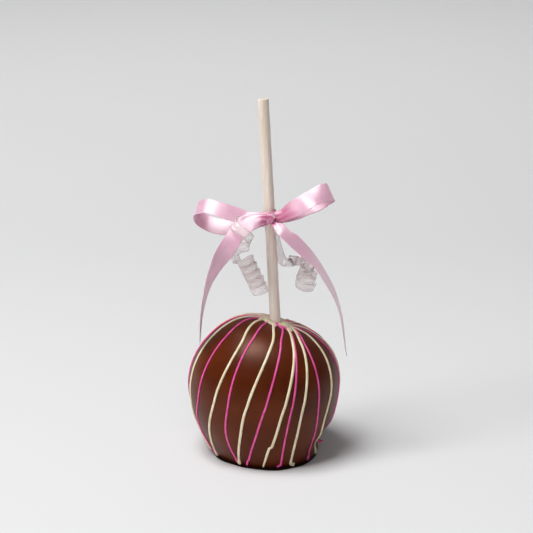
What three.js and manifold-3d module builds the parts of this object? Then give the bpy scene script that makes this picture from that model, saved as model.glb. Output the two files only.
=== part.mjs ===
// Chocolate covered apple on a birch stick, poured over with fine lines of cream and pink
// icing, and tied at the stick with a satin bow and two curls of clear film.
// Millimetres and degrees, +Z up, origin at the centre of the flat base.
// Azimuths are seen from above: 0 faces -Y, the front, and 90 faces +X.

import * as THREE from 'three';
import { mergeVertices } from 'three/addons/utils/BufferGeometryUtils.js';
import Module from 'manifold-3d';

const wasm = await Module();
wasm.setup();

const GAP = 0.3; // between pieces that touch on the real thing
const WELD_REACH = 1e-4; // corners closer than this are one corner

// ---- Apple ----
const APPLE_RADIUS = 40;
const BELLY_HEIGHT = 39.2; // of the widest ring
const CROWN_HEIGHT = 73;
const CROWN_POWER = 2.07; // 2 is an ellipse, more is a squarer shoulder
const BASE_RADIUS = 27.9;
const TAPER_POWER = 1.68; // how the sides draw in below the belly
const CROWN_TILT = 8; // the crown drops towards +X by this much at the full radius
const CROWN_TILT_POWER = 13; // and only close to the top
const BELLY_SAG = 2.15; // the -X side hangs lower than the +X side
const BASE_SHIFT = 1.4; // of the base towards +X
const LOBE_COUNT = 3; // soft lobes round the foot
const LOBE_DEPTH = 1.1;
const LOBE_AZIMUTH = 15; // of the first of them
const DENT = { depth: 5.4, azimuth: 85, spread: 28, height: 9, reach: 6 };
const FOOT_CHAMFER = 0.8;
const APPLE_SECTORS = 52;
const CROWN_RINGS = 13;
const FLANK_RINGS = 10;

// ---- Stick ----
const STICK_RADIUS = 2.8;
const STICK_LENGTH = 165;
const STICK_FOOT = new THREE.Vector3(6, 0, 71.8); // where its axis leaves the crown
const STICK_EXPOSED = 119.5;
const STICK_LEAN = 3.05; // from upright, towards -X
const STICK_CHAMFER = 0.25;
const STICK_SIDES = 28;
const HOLE_OVERSHOOT = 10; // the drill starts this far above the crown

// ---- Icing ----
const CREAM_WIDTH = 1.6;
const PINK_WIDTH = 1.25;
const BEAD_RISE = 0.6; // height of a bead, as a share of its width
const BEAD_SIDES = 5;
const BEAD_STEPS = 15;
const LINE_START = 0.145; // as latitudes, see ringAt
const LINE_END = 1.955;
const LINE_LATITUDES = [LINE_START, 0.5, 1, 1.5, LINE_END];
// Azimuths of the front lines at those latitudes, pink and cream in turn.
const FRONT_LINES = [
  [-116, -98, -91, -94, -97],
  [-101, -81, -75, -79, -82],
  [-86, -59, -60, -72, -71],
  [-62, -34, -42, -54, -63],
  [-37, -25, -29, -34, -36],
  [-3, 2, -13, -22, -29],
  [28, 14, 1, -9, -19],
  [46, 29, 16, 8, -2],
  [58, 37, 23, 17, 13],
  [71, 46, 33, 27, 24],
  [84, 55, 47, 45, 48],
  [96, 73, 63, 58, 68],
  [108, 88, 82, 84, 86],
];
const BACK_LINE_COUNT = 13; // spread evenly over the back
const BACK_SWAY = 2.5; // and a little uneven below the crown
const BACK_SWAY_PHASE = { line: 2.4, latitude: 1.3 }; // radians from one to the next
const FULL_TURN = 360;
// Where the lines run together round the stick, from one azimuth to another.
const POOL_INNER = STICK_RADIUS + GAP + 0.1;
const POOL_THICKNESS = 1.3;
const POOL_LUMPS = 5;
const POOL_STEP = 14;
const CREAM_POOLS = {
  cream_pool_right: { from: 16, to: 150, reach: 8, lump: 0.5 },
  cream_pool_left: { from: 200, to: 345, reach: 7.6, lump: 0.5 },
};
const PINK_POOLS = {
  pink_pool_front: { from: -9, to: 10, reach: 6.6, lump: 0 },
  pink_pool_back: { from: 156, to: 194, reach: 6.6, lump: 0 },
};

// ---- Satin ribbon ----
const SATIN_WIDTH = 10;
const SATIN_THICKNESS = 0.6;
const GATHERED_WIDTH = 5.5; // where it runs into the knot
const KNOT = new THREE.Vector3(3.4, -5.6, 129.4);
const KNOT_RADII = new THREE.Vector3(3.3, 2.3, 3.5);
const KNOT_SECTORS = 12;
const KNOT_RINGS = 8;
const WRAP_HEIGHT = 6.4;
const WRAP_THICKNESS = 0.8;
const STEPS_PER_STATION = 2;
// A stretch of ribbon runs through stations: [centre, direction across it, width].
const LEFT_LOOP = [
  [[3, -5.4, 129.6], [0, 0.3, 0.95], GATHERED_WIDTH],
  [[-8.2, -4.6, 129.1], [0.2, 0.71, 0.66], 8.6],
  [[-14.1, -4, 130.6], [0.24, 0.79, 0.57], SATIN_WIDTH],
  [[-20.1, -3.4, 132.5], [0.21, 0.81, 0.55], SATIN_WIDTH],
  [[-25.6, -2.1, 134], [0.19, 0.82, 0.53], SATIN_WIDTH],
  [[-29.3, -0.5, 134.5], [0.17, 0.84, 0.52], SATIN_WIDTH],
  [[-32.6, 1, 133.9], [0.19, 0.83, 0.52], SATIN_WIDTH],
  [[-35.3, 3.4, 132], [0.22, 0.81, 0.54], SATIN_WIDTH],
  [[-34.9, 7, 127.4], [0.23, 0.83, 0.5], SATIN_WIDTH],
  [[-31.5, 7.4, 124.3], [0.24, 0.8, 0.55], SATIN_WIDTH],
  [[-25, 5.2, 122.3], [0.28, 0.76, 0.58], SATIN_WIDTH],
  [[-18.2, 2.4, 121.9], [0.32, 0.77, 0.56], SATIN_WIDTH],
  [[-10.4, -0.8, 123.2], [0.36, 0.72, 0.56], 9],
  [[-3, -3.4, 126], [0.2, 0.6, 0.75], 7],
  [[3, -5.4, 128.4], [0, 0.2, 0.98], GATHERED_WIDTH],
];
const LEFT_TAIL = [
  [[2.6, -6.6, 129.6], [-0.1, -0.1, 1], 4.6],
  [[-1, -7.4, 129.8], [-0.16, 0.45, 0.88], 6.8],
  [[-4.5, -8, 129.2], [-0.28, 0.62, 0.73], 9.6],
  [[-7.7, -9, 128.1], [-0.4, 0.62, 0.67], SATIN_WIDTH],
  [[-10.2, -10.4, 126.4], [-0.52, 0.5, 0.69], SATIN_WIDTH],
  [[-12.2, -11.9, 124.5], [-0.64, 0.48, 0.6], 9.4],
  [[-14.8, -13.9, 122], [-0.7, 0.4, 0.6], 9],
  [[-18.4, -16.1, 116.8], [-0.74, 0.1, 0.66], 9],
  [[-24.1, -16.4, 107.6], [-0.56, -0.64, 0.53], SATIN_WIDTH],
  [[-28.6, -14.8, 96.8], [-0.28, -0.88, 0.38], SATIN_WIDTH],
  [[-31.4, -13.4, 85.5], [-0.13, -0.93, 0.34], SATIN_WIDTH],
  [[-32.9, -12.2, 74.9], [-0.07, -0.94, 0.33], SATIN_WIDTH],
  [[-33.8, -11.4, 63], [-0.01, -0.93, 0.36], SATIN_WIDTH],
];
const RIGHT_LOOP = [
  [[4, -6, 129.4], [-0.3, 0.2, 0.93], GATHERED_WIDTH],
  [[9.8, -6.4, 131.5], [-0.4, 0.6, 0.69], 7.4],
  [[13.5, -6.5, 133.8], [-0.47, 0.62, 0.63], 9],
  [[17.7, -6.3, 135.7], [-0.5, 0.63, 0.59], SATIN_WIDTH],
  [[21.6, -5.6, 138], [-0.47, 0.68, 0.56], SATIN_WIDTH],
  [[25.8, -3.4, 140], [-0.44, 0.7, 0.56], SATIN_WIDTH],
  [[31.3, -0.4, 141.4], [-0.42, 0.45, 0.79], SATIN_WIDTH],
  [[34.8, 3, 141], [-0.42, 0.2, 0.89], SATIN_WIDTH],
  [[31.4, 5.8, 137.6], [-0.45, 0.4, 0.8], SATIN_WIDTH],
  [[26.1, 5.6, 134.1], [-0.46, 0.62, 0.64], SATIN_WIDTH],
  [[21.2, 4, 132.6], [-0.43, 0.64, 0.63], SATIN_WIDTH],
  [[16.1, 1, 130.8], [-0.38, 0.66, 0.65], 9.5],
  [[11.1, -2.6, 129.1], [-0.32, 0.7, 0.64], 8],
  [[4, -5.4, 128.6], [0, 0.3, 0.95], GATHERED_WIDTH],
];
const RIGHT_TAIL = [
  [[3.6, -5.6, 128.4], [0.3, 0.6, 0.75], 4.6],
  [[5.9, -7, 127.6], [0.6, 0.72, 0.3], 5.4],
  [[8.4, -9.5, 126.1], [0.78, 0.6, 0.14], 7.6],
  [[11.1, -12.3, 123.5], [0.71, 0.7, -0.02], 9.6],
  [[15.2, -13.5, 119.7], [0.49, 0.83, 0.26], SATIN_WIDTH],
  [[20.1, -13.3, 114.7], [0.33, 0.87, 0.36], SATIN_WIDTH],
  [[24.1, -12.7, 110.6], [0.2, 0.93, 0.32], SATIN_WIDTH],
  [[27.6, -12.1, 106.2], [0.14, 0.95, 0.25], SATIN_WIDTH],
  [[30.3, -11.6, 101.8], [0.15, 0.96, 0.2], SATIN_WIDTH],
  [[35, -10.8, 93.2], [0.2, 0.97, 0], SATIN_WIDTH],
  [[38.4, -10.2, 84.6], [0.17, 0.96, -0.2], SATIN_WIDTH],
  [[40.9, -10, 74.3], [0.12, 0.95, -0.28], SATIN_WIDTH],
  [[43.2, -10, 55.4], [0.07, 0.96, -0.27], SATIN_WIDTH],
];

// ---- Curls of clear film ----
const FILM_WIDTH = 5;
const FILM_THICKNESS = 0.5;
const FILM_PITCH = 5.7; // rise of each turn, so that the turns lie edge to edge
const FILM_STEPS_PER_TURN = 11;
const FILM_LEAD_STEPS = 6;
const FILM_LEAD_ACROSS = [0.25, 1, 0.1];
const LEFT_CURL = {
  radius: 3.7,
  turns: 5,
  from: [-10.3, -6.4, 113.6],
  towards: [-1.6, -8, 89],
  startAngle: -60,
  lead: [[-0.2, -5, 121.8], [-4.4, -6.6, 120.4], [-8.4, -8.2, 118.2]],
};
const RIGHT_CURL = {
  radius: 5,
  turns: 2.4,
  from: [21.8, 1.5, 102.5],
  towards: [22.4, 2.2, 91.5],
  startAngle: 150,
  lead: [[5.4, 5.9, 124.6], [7.6, 5.6, 114], [9.5, 5.2, 105.6], [12.5, 5.2, 102.4]],
};

const { DEG2RAD, lerp, smoothstep } = THREE.MathUtils;
const UP = new THREE.Vector3(0, 0, 1);
const NUDGE = 0.01; // a small step along a latitude or a route, to find its direction
const vector = ([x, y, z]) => new THREE.Vector3(x, y, z);

const chocolate = new THREE.MeshStandardMaterial({ color: 0x5a2f1a, roughness: 0.32 });
const cream = new THREE.MeshStandardMaterial({ color: 0xe6dab9, roughness: 0.45 });
const pink = new THREE.MeshStandardMaterial({ color: 0xe0559a, roughness: 0.45 });
const birch = new THREE.MeshStandardMaterial({ color: 0xe6d2b8, roughness: 0.7 });
const satin = new THREE.MeshStandardMaterial({ color: 0xe3a5c0, roughness: 0.3 });
const film = new THREE.MeshStandardMaterial({ color: 0xe4dcdc, roughness: 0.15 });

// ---- Solids ----

// Keeps only the corners that faces share, so that the mesh is one closed body.
function closed(geometry) {
  geometry.deleteAttribute('normal');
  geometry.deleteAttribute('uv');
  return mergeVertices(geometry, WELD_REACH);
}

function toManifold(geometry) {
  const mesh = closed(geometry);
  return new wasm.Manifold(new wasm.Mesh({
    numProp: 3,
    vertProperties: mesh.attributes.position.array,
    triVerts: new Uint32Array(mesh.index.array),
  }));
}

function fromManifold(solid) {
  const mesh = solid.getMesh();
  const geometry = new THREE.BufferGeometry();
  geometry.setAttribute('position', new THREE.BufferAttribute(mesh.vertProperties, 3));
  geometry.setIndex(new THREE.BufferAttribute(mesh.triVerts, 1));
  return geometry;
}

// Moves every corner of a geometry to the place that a function gives for it.
function reshape(geometry, place) {
  const position = geometry.attributes.position;
  const corner = new THREE.Vector3();
  for (let i = 0; i < position.count; i += 1) {
    corner.fromBufferAttribute(position, i);
    position.setXYZ(i, ...place(corner).toArray());
  }
  return geometry;
}

// Bends a straight piece of length 1 along Y, so that its X and Z follow a moving frame.
function bend(geometry, frameAt) {
  return reshape(geometry, (corner) => {
    const { centre, across, out } = frameAt(corner.y + 0.5);
    return centre.addScaledVector(across, corner.x).addScaledVector(out, corner.z);
  });
}

// ---- Apple ----

// A latitude is 0 at the top of the crown, 1 at the belly and 2 at the base.
function ringAt(latitude) {
  if (latitude < 1) {
    const rise = (1 - latitude) * 90 * DEG2RAD;
    return {
      radius: APPLE_RADIUS * Math.cos(rise) ** (2 / CROWN_POWER),
      height: BELLY_HEIGHT + (CROWN_HEIGHT - BELLY_HEIGHT) * Math.sin(rise) ** (2 / CROWN_POWER),
    };
  }
  const drop = Math.min(latitude - 1, 1);
  return {
    radius: APPLE_RADIUS - (APPLE_RADIUS - BASE_RADIUS) * drop ** TAPER_POWER,
    height: BELLY_HEIGHT * (1 - drop),
  };
}

// Height of the crown over a point, before the apple leans and sags.
function crownHeight(x, y) {
  const share = Math.min(Math.hypot(x, y) / APPLE_RADIUS, 1);
  const rise = (1 - share ** CROWN_POWER) ** (1 / CROWN_POWER);
  return BELLY_HEIGHT + (CROWN_HEIGHT - BELLY_HEIGHT) * rise;
}

// The unevenness of a real apple: a tilted crown and a low side.
function lean(point) {
  const height = THREE.MathUtils.clamp(point.z / CROWN_HEIGHT, 0, 1);
  const side = point.x / APPLE_RADIUS;
  const tilt = CROWN_TILT * height ** CROWN_TILT_POWER * side;
  const sag = BELLY_SAG * 2 * height * (1 - height) * (1 - side);
  return point.setZ(point.z - tilt - sag);
}

function bell(value, spread) {
  return Math.exp(-((value / spread) ** 2));
}

// How far the foot stands out of its ring: soft lobes and one dent.
function footRelief(azimuth, height) {
  const drop = Math.max(1 - height / BELLY_HEIGHT, 0);
  const lobeTurn = LOBE_COUNT * (azimuth - LOBE_AZIMUTH) * DEG2RAD;
  const lobes = LOBE_DEPTH * drop ** 3 * Math.cos(lobeTurn);
  const half = FULL_TURN / 2;
  const turn = THREE.MathUtils.euclideanModulo(azimuth - DENT.azimuth + half, FULL_TURN) - half;
  const dent = DENT.depth * bell(turn, DENT.spread) * bell(height - DENT.height, DENT.reach);
  return drop > 0 ? lobes - dent : 0;
}

// A point on the chocolate. Above the belly the rings gather round the stick.
function applePoint(latitude, azimuth) {
  const { radius, height } = ringAt(latitude);
  const angle = azimuth * DEG2RAD;
  const reach = latitude < 1 ? radius : radius + footRelief(azimuth, height);
  const shift = latitude < 1
    ? STICK_FOOT.x * (1 - smoothstep(radius, 0, APPLE_RADIUS))
    : BASE_SHIFT * (latitude - 1) ** 2;
  const x = shift + reach * Math.sin(angle);
  const y = -reach * Math.cos(angle);
  return lean(new THREE.Vector3(x, y, latitude < 1 ? crownHeight(x, y) : height));
}

function appleNormal(latitude, azimuth) {
  const down = applePoint(latitude + NUDGE, azimuth).sub(applePoint(latitude - NUDGE, azimuth));
  const round = applePoint(latitude, azimuth + 1).sub(applePoint(latitude, azimuth - 1));
  return down.cross(round).normalize();
}

function appleGeometry() {
  const latitudes = [];
  for (let i = 0; i < CROWN_RINGS; i += 1) latitudes.push(i / CROWN_RINGS);
  for (let i = 0; i <= FLANK_RINGS; i += 1) latitudes.push(1 + i / FLANK_RINGS);
  // The lathe carries latitudes up its axis, and reshape turns them into the apple.
  const profile = latitudes.map((latitude) => new THREE.Vector2(latitude > 0 ? 1 : 0, -latitude));
  profile.push(new THREE.Vector2(0, -2));
  const lathe = new THREE.LatheGeometry(profile.reverse(), APPLE_SECTORS);
  return reshape(lathe, (corner) => {
    const latitude = -corner.y;
    const share = Math.hypot(corner.x, corner.z); // 1 on the skin and 0 on the axis
    const point = applePoint(latitude, Math.atan2(corner.x, corner.z) / DEG2RAD);
    if (latitude < 2) return point;
    const middle = new THREE.Vector3(BASE_SHIFT, 0, 0);
    return middle.lerp(point, share * (1 - FOOT_CHAMFER / BASE_RADIUS));
  });
}

// ---- Stick ----

// Puts a shape that stands on the Y axis at a distance along the leaning stick.
function alongStick(geometry, distance) {
  const direction = stickDirection();
  const upright = new THREE.Vector3(0, 1, 0);
  geometry.applyQuaternion(new THREE.Quaternion().setFromUnitVectors(upright, direction));
  const place = STICK_FOOT.clone().addScaledVector(direction, distance);
  return geometry.translate(place.x, place.y, place.z);
}

function stickDirection() {
  return new THREE.Vector3(-Math.sin(STICK_LEAN * DEG2RAD), 0, Math.cos(STICK_LEAN * DEG2RAD));
}

function stickGeometry() {
  const profile = [
    [0, 0],
    [STICK_RADIUS - STICK_CHAMFER, 0],
    [STICK_RADIUS, STICK_CHAMFER],
    [STICK_RADIUS, STICK_LENGTH - STICK_CHAMFER],
    [STICK_RADIUS - STICK_CHAMFER, STICK_LENGTH],
    [0, STICK_LENGTH],
  ].map(([radius, height]) => new THREE.Vector2(radius, height));
  return alongStick(new THREE.LatheGeometry(profile, STICK_SIDES), STICK_EXPOSED - STICK_LENGTH);
}

// The blind hole that the stick is pushed into.
function stickHole() {
  const depth = STICK_LENGTH - STICK_EXPOSED + GAP;
  const reach = depth + HOLE_OVERSHOOT;
  const radius = STICK_RADIUS + GAP;
  const hole = new THREE.CylinderGeometry(radius, radius, reach, STICK_SIDES);
  return alongStick(hole, reach / 2 - depth);
}

// ---- Icing ----

// A bead of icing that lies on the chocolate along a list of azimuths.
function lineGeometry(azimuths, width) {
  const knots = azimuths.map((azimuth, i) => new THREE.Vector3(LINE_LATITUDES[i], azimuth, 0));
  const route = new THREE.CatmullRomCurve3(knots, false, 'catmullrom');
  const onApple = (t) => {
    const { x: latitude, y: azimuth } = route.getPoint(THREE.MathUtils.clamp(t, 0, 1));
    return { point: applePoint(latitude, azimuth), normal: appleNormal(latitude, azimuth) };
  };
  const height = width * BEAD_RISE;
  const bead = new THREE.CylinderGeometry(1, 1, 1, BEAD_SIDES, BEAD_STEPS);
  return bend(bead, (t) => {
    const { point, normal } = onApple(t);
    const forward = onApple(t + NUDGE).point.sub(onApple(t - NUDGE).point).normalize();
    const lift = GAP + height / 2;
    return {
      centre: point.addScaledVector(normal, lift),
      across: new THREE.Vector3().crossVectors(forward, normal).normalize().multiplyScalar(width / 2),
      out: normal.clone().multiplyScalar(height / 2),
    };
  });
}

// The back lines carry on from the last front line round to the first.
function backLine(index) {
  const share = (index + 1) / (BACK_LINE_COUNT + 1);
  const last = FRONT_LINES[FRONT_LINES.length - 1];
  const first = FRONT_LINES[0];
  const phase = (i) => BACK_SWAY_PHASE.line * index + BACK_SWAY_PHASE.latitude * i;
  const sway = (i) => (i > 0 ? BACK_SWAY * Math.sin(phase(i)) : 0);
  return last.map((azimuth, i) => lerp(azimuth, first[i] + FULL_TURN, share) + sway(i));
}

function poolGeometry({ from, to, reach, lump }) {
  const steps = Math.ceil((to - from) / POOL_STEP) + 1;
  const arc = new THREE.BoxGeometry(1, 1, 1, steps, 1, 1);
  return reshape(arc, (corner) => {
    const azimuth = lerp(from, to, corner.x + 0.5) * DEG2RAD;
    const outer = corner.y < 0;
    const distance = outer ? reach + lump * Math.sin(POOL_LUMPS * azimuth + 1) : POOL_INNER;
    const x = STICK_FOOT.x + distance * Math.sin(azimuth);
    const y = -distance * Math.cos(azimuth);
    const point = lean(new THREE.Vector3(x, y, crownHeight(x, y)));
    const thickness = outer ? POOL_THICKNESS / 2 : POOL_THICKNESS;
    return point.setZ(point.z + GAP + (corner.z > 0 ? thickness : 0));
  });
}

// ---- Ribbons ----

// A strip through stations, with its width across and its thickness outwards.
function stripGeometry(stations) {
  const centres = new THREE.CatmullRomCurve3(stations.map(([centre]) => vector(centre)));
  const sides = new THREE.CatmullRomCurve3(
    stations.map(([, across, width]) => vector(across).setLength(width / 2)),
  );
  const steps = (stations.length - 1) * STEPS_PER_STATION;
  return bend(new THREE.BoxGeometry(2, 1, 2, 1, steps, 1), (t) => {
    const across = sides.getPoint(t);
    const out = new THREE.Vector3().crossVectors(across, centres.getTangent(t));
    return { centre: centres.getPoint(t), across, out: out.setLength(SATIN_THICKNESS / 2) };
  });
}

function knotGeometry() {
  const ball = new THREE.SphereGeometry(1, KNOT_SECTORS, KNOT_RINGS);
  return ball.scale(...KNOT_RADII.toArray()).translate(...KNOT.toArray());
}

// The turn of ribbon that holds the knot to the stick.
function wrapGeometry() {
  const inner = STICK_RADIUS + GAP;
  const outer = inner + WRAP_THICKNESS;
  const half = WRAP_HEIGHT / 2;
  const profile = [[inner, -half], [outer, -half], [outer, half], [inner, half], [inner, -half]];
  const outline = profile.map(([x, y]) => new THREE.Vector2(x, y));
  const ring = new THREE.LatheGeometry(outline, STICK_SIDES);
  return alongStick(ring, KNOT.z - STICK_FOOT.z);
}

function satinRibbon() {
  const pieces = [
    stripGeometry(LEFT_LOOP),
    stripGeometry(RIGHT_LOOP),
    stripGeometry(LEFT_TAIL),
    stripGeometry(RIGHT_TAIL),
    knotGeometry(),
    wrapGeometry(),
  ].map(toManifold);
  return fromManifold(pieces.reduce((whole, piece) => whole.add(piece)));
}

// A strip of film that leaves the knot and then winds into a curl.
function curlGeometry({ radius, turns, from, towards, startAngle, lead }) {
  const start = vector(from);
  const axis = vector(towards).sub(start).normalize();
  const side = new THREE.Vector3().crossVectors(axis, UP).normalize();
  const front = new THREE.Vector3().crossVectors(side, axis);
  const count = Math.round(turns * FILM_STEPS_PER_TURN);
  const centres = lead.map(vector);
  for (let i = 0; i <= count; i += 1) {
    const turn = i / FILM_STEPS_PER_TURN;
    const angle = (startAngle + FULL_TURN * turn) * DEG2RAD;
    centres.push(start.clone()
      .addScaledVector(axis, turn * FILM_PITCH)
      .addScaledVector(side, radius * Math.cos(angle))
      .addScaledVector(front, radius * Math.sin(angle)));
  }
  const route = new THREE.CatmullRomCurve3(centres);
  const leadShare = lead.length / (centres.length - 1);
  const strip = new THREE.BoxGeometry(2, 1, 2, 1, count + FILM_LEAD_STEPS, 1);
  return bend(strip, (t) => {
    const across = vector(FILM_LEAD_ACROSS).normalize().lerp(axis, smoothstep(t, 0, leadShare));
    across.setLength(FILM_WIDTH / 2);
    const out = new THREE.Vector3().crossVectors(across, route.getTangent(t));
    return { centre: route.getPoint(t), across, out: out.setLength(FILM_THICKNESS / 2) };
  });
}

// ---- The whole ----

const model = new THREE.Group();

function addPart(name, geometry, material) {
  const mesh = new THREE.Mesh(closed(geometry), material);
  mesh.name = name;
  model.add(mesh);
}

const hollowedApple = toManifold(appleGeometry()).subtract(toManifold(stickHole()));
addPart('chocolate_apple', fromManifold(hollowedApple), chocolate);
addPart('stick', stickGeometry(), birch);

const lines = [...FRONT_LINES];
for (let i = 0; i < BACK_LINE_COUNT; i += 1) lines.push(backLine(i));
lines.forEach((azimuths, i) => {
  const number = String(Math.floor(i / 2) + 1).padStart(2, '0');
  if (i % 2 === 0) addPart(`pink_line_${number}`, lineGeometry(azimuths, PINK_WIDTH), pink);
  else addPart(`cream_line_${number}`, lineGeometry(azimuths, CREAM_WIDTH), cream);
});
Object.entries(CREAM_POOLS).forEach(([name, pool]) => addPart(name, poolGeometry(pool), cream));
Object.entries(PINK_POOLS).forEach(([name, pool]) => addPart(name, poolGeometry(pool), pink));

addPart('satin_ribbon', satinRibbon(), satin);
addPart('film_curl_left', curlGeometry(LEFT_CURL), film);
addPart('film_curl_right', curlGeometry(RIGHT_CURL), film);

export default model;
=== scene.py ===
"""A chocolate covered apple on a birch stick, poured with cream and pink icing and tied with a satin bow.

Sizes are in millimetres and angles in degrees, unless a comment or a docstring says otherwise, and
meshes are written in metres. Azimuths are seen from above: 0 faces -Y, the front, and 90 faces +X.
"""

import logging
import math
from dataclasses import dataclass
from enum import Enum
from typing import Any, ClassVar, Sequence

import bpy
import numpy as np
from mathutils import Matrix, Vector


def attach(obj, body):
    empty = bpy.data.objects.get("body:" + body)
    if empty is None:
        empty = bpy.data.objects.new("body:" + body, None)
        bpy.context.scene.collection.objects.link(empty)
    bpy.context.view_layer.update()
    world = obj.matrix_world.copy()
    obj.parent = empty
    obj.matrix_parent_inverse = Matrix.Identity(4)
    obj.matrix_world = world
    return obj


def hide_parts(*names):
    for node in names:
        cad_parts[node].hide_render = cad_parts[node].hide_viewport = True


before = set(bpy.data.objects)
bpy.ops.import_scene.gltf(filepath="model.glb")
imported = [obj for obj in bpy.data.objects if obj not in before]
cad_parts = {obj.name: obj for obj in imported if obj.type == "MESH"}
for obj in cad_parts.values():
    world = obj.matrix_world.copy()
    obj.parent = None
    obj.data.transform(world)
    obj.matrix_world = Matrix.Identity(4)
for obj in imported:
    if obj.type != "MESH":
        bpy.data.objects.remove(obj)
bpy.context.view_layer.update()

LOG = logging.getLogger("chocolate_apple")
MM = 0.001
FULL_TURN = 360.0
NOISE_MIDDLE = 0.5  # a noise pattern runs from 0 to 1 about this
MIX_SHARE = 0  # a Mix node's sockets for colours, by number because their names repeat
MIX_FIRST = 6
MIX_SECOND = 7
MIX_RESULT = 2
BODY = "root"
OUTWARD = "outward"  # the attribute that says which way a poured or wound piece faces
HALF_WIDTH = "half_width"  # the attribute that holds half the width of a poured line
RELIEF = "relief"  # the attribute that says how freely the coat's skin may swell


# ---- Small helpers ----


def linear(colour: str) -> tuple[float, float, float, float]:
    """Turns an sRGB hex colour into linear light.

    Args:
        colour: Six hex digits, such as "7a3c1e".

    Returns:
        Linear red, green, blue and an alpha of 1.
    """
    shares = [int(colour[i : i + 2], 16) / 255 for i in (0, 2, 4)]
    light = [s / 12.92 if s <= 0.04045 else ((s + 0.055) / 1.055) ** 2.4 for s in shares]
    return (light[0], light[1], light[2], 1.0)


def add_node(
    tree: bpy.types.NodeTree, kind: str, inputs: dict[str | int, Any] | None = None, **settings: Any
) -> bpy.types.Node:
    """Adds a node with its settings and links.

    Args:
        tree: The tree that gets the node.
        kind: The node's Blender type name.
        inputs: By input name or number, the value to set or the output socket to link.
        **settings: The node's own properties.

    Returns:
        The new node.
    """
    node = tree.nodes.new(kind)
    for name, value in settings.items():
        setattr(node, name, value)
    for name, value in (inputs or {}).items():
        if isinstance(value, bpy.types.NodeSocket):
            tree.links.new(value, node.inputs[name])
        else:
            node.inputs[name].default_value = value
    return node


def smoothstep(value: np.ndarray | float, low: float, high: float) -> np.ndarray | float:
    """Rises smoothly from 0 at low to 1 at high."""
    share = np.clip((value - low) / (high - low), 0.0, 1.0)
    return share * share * (3 - 2 * share)


def unit(vectors: np.ndarray) -> np.ndarray:
    """Scales vectors, along the last axis, to length 1."""
    return vectors / np.linalg.norm(vectors, axis=-1, keepdims=True)


def curve_through(points: Sequence[Sequence[float]], shares: np.ndarray) -> np.ndarray:
    """Follows a smooth curve through points, evenly parted.

    Args:
        points: The points that the curve passes, each of any number of values.
        shares: Places along the curve, from 0 at its first point to 1 at its last.

    Returns:
        One row for each share.
    """
    knots = np.array(points, float)
    ends = [2 * knots[0] - knots[1], 2 * knots[-1] - knots[-2]]
    padded = np.vstack([ends[0], knots, ends[1]])
    place = np.clip(shares, 0, 1) * (len(knots) - 1)
    first = np.minimum(place.astype(int), len(knots) - 2)
    t = (place - first)[:, None]
    a, b, c, d = (padded[first + i] for i in range(4))
    slope_in, slope_out = (c - a) / 2, (d - b) / 2
    rise = 2 * t**3 - 3 * t**2
    return b * (rise + 1) - c * rise + slope_in * (t**3 - 2 * t**2 + t) + slope_out * (t**3 - t**2)


def plain_mesh(
    name: str,
    points: np.ndarray,
    faces: Sequence[Sequence[int]],
    edges: Sequence[Sequence[int]] = (),
) -> bpy.types.Object:
    """Makes an object at the origin from points in millimetres.

    Args:
        name: The object's name.
        points: One row of x, y and z for each vertex.
        faces: Vertex numbers of each face, seen counter-clockwise from outside.
        edges: Vertex numbers of loose edges.

    Returns:
        The object, linked to the scene.
    """
    mesh = bpy.data.meshes.new(name)
    mesh.from_pydata((np.asarray(points) * MM).tolist(), list(edges), list(faces))
    mesh.validate()
    piece = bpy.data.objects.new(name, mesh)
    bpy.context.scene.collection.objects.link(piece)
    return piece


def grid_faces(rows: int, columns: int, wrap: bool = False) -> list[tuple[int, int, int, int]]:
    """Lists the quads between rows of points.

    Args:
        rows: How many rows there are.
        columns: How many points a row has.
        wrap: Whether a row closes on itself.

    Returns:
        Four vertex numbers for each quad.
    """
    faces = []
    for row in range(rows - 1):
        for column in range(columns if wrap else columns - 1):
            right = (column + 1) % columns
            low, high = row * columns, (row + 1) * columns
            faces.append((low + column, low + right, high + right, high + column))
    return faces


def store(piece: bpy.types.Object, name: str, values: np.ndarray) -> None:
    """Keeps a number or a vector for each vertex.

    Args:
        piece: The piece.
        name: The attribute's name.
        values: A number or a row of three for each vertex.
    """
    kind, key = ("FLOAT_VECTOR", "vector") if values.ndim == 2 else ("FLOAT", "value")
    attribute = piece.data.attributes.new(name, kind, "POINT")
    attribute.data.foreach_set(key, values.astype(np.float32).ravel())


def smooth(piece: bpy.types.Object) -> None:
    """Shades every face of a piece smooth."""
    piece.data.polygons.foreach_set("use_smooth", [True] * len(piece.data.polygons))


def nodes_named(start: str) -> list[str]:
    """Lists the CAD nodes whose names start alike."""
    return sorted(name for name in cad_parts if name.startswith(start))


def flatten(piece: bpy.types.Object) -> bpy.types.Object:
    """Turns a piece and its modifiers into a plain mesh.

    Args:
        piece: The piece, which gets the new mesh.

    Returns:
        The piece.
    """
    depsgraph = bpy.context.evaluated_depsgraph_get()
    made = bpy.data.meshes.new_from_object(piece.evaluated_get(depsgraph), depsgraph=depsgraph)
    piece.modifiers.clear()
    old = piece.data
    piece.data = made
    made.name = piece.name
    bpy.data.meshes.remove(old)
    return piece


def hand_over(piece: bpy.types.Object, nodes: Sequence[str]) -> bpy.types.Object:
    """Makes a finished piece ride on the body and stand for its CAD nodes.

    Args:
        piece: The finished piece.
        nodes: The CAD nodes that it stands for.

    Returns:
        The piece.
    """
    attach(piece, BODY)
    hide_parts(*nodes)
    LOG.info("%s: %d vertices, for %d nodes", piece.name, len(piece.data.vertices), len(nodes))
    return piece


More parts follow.
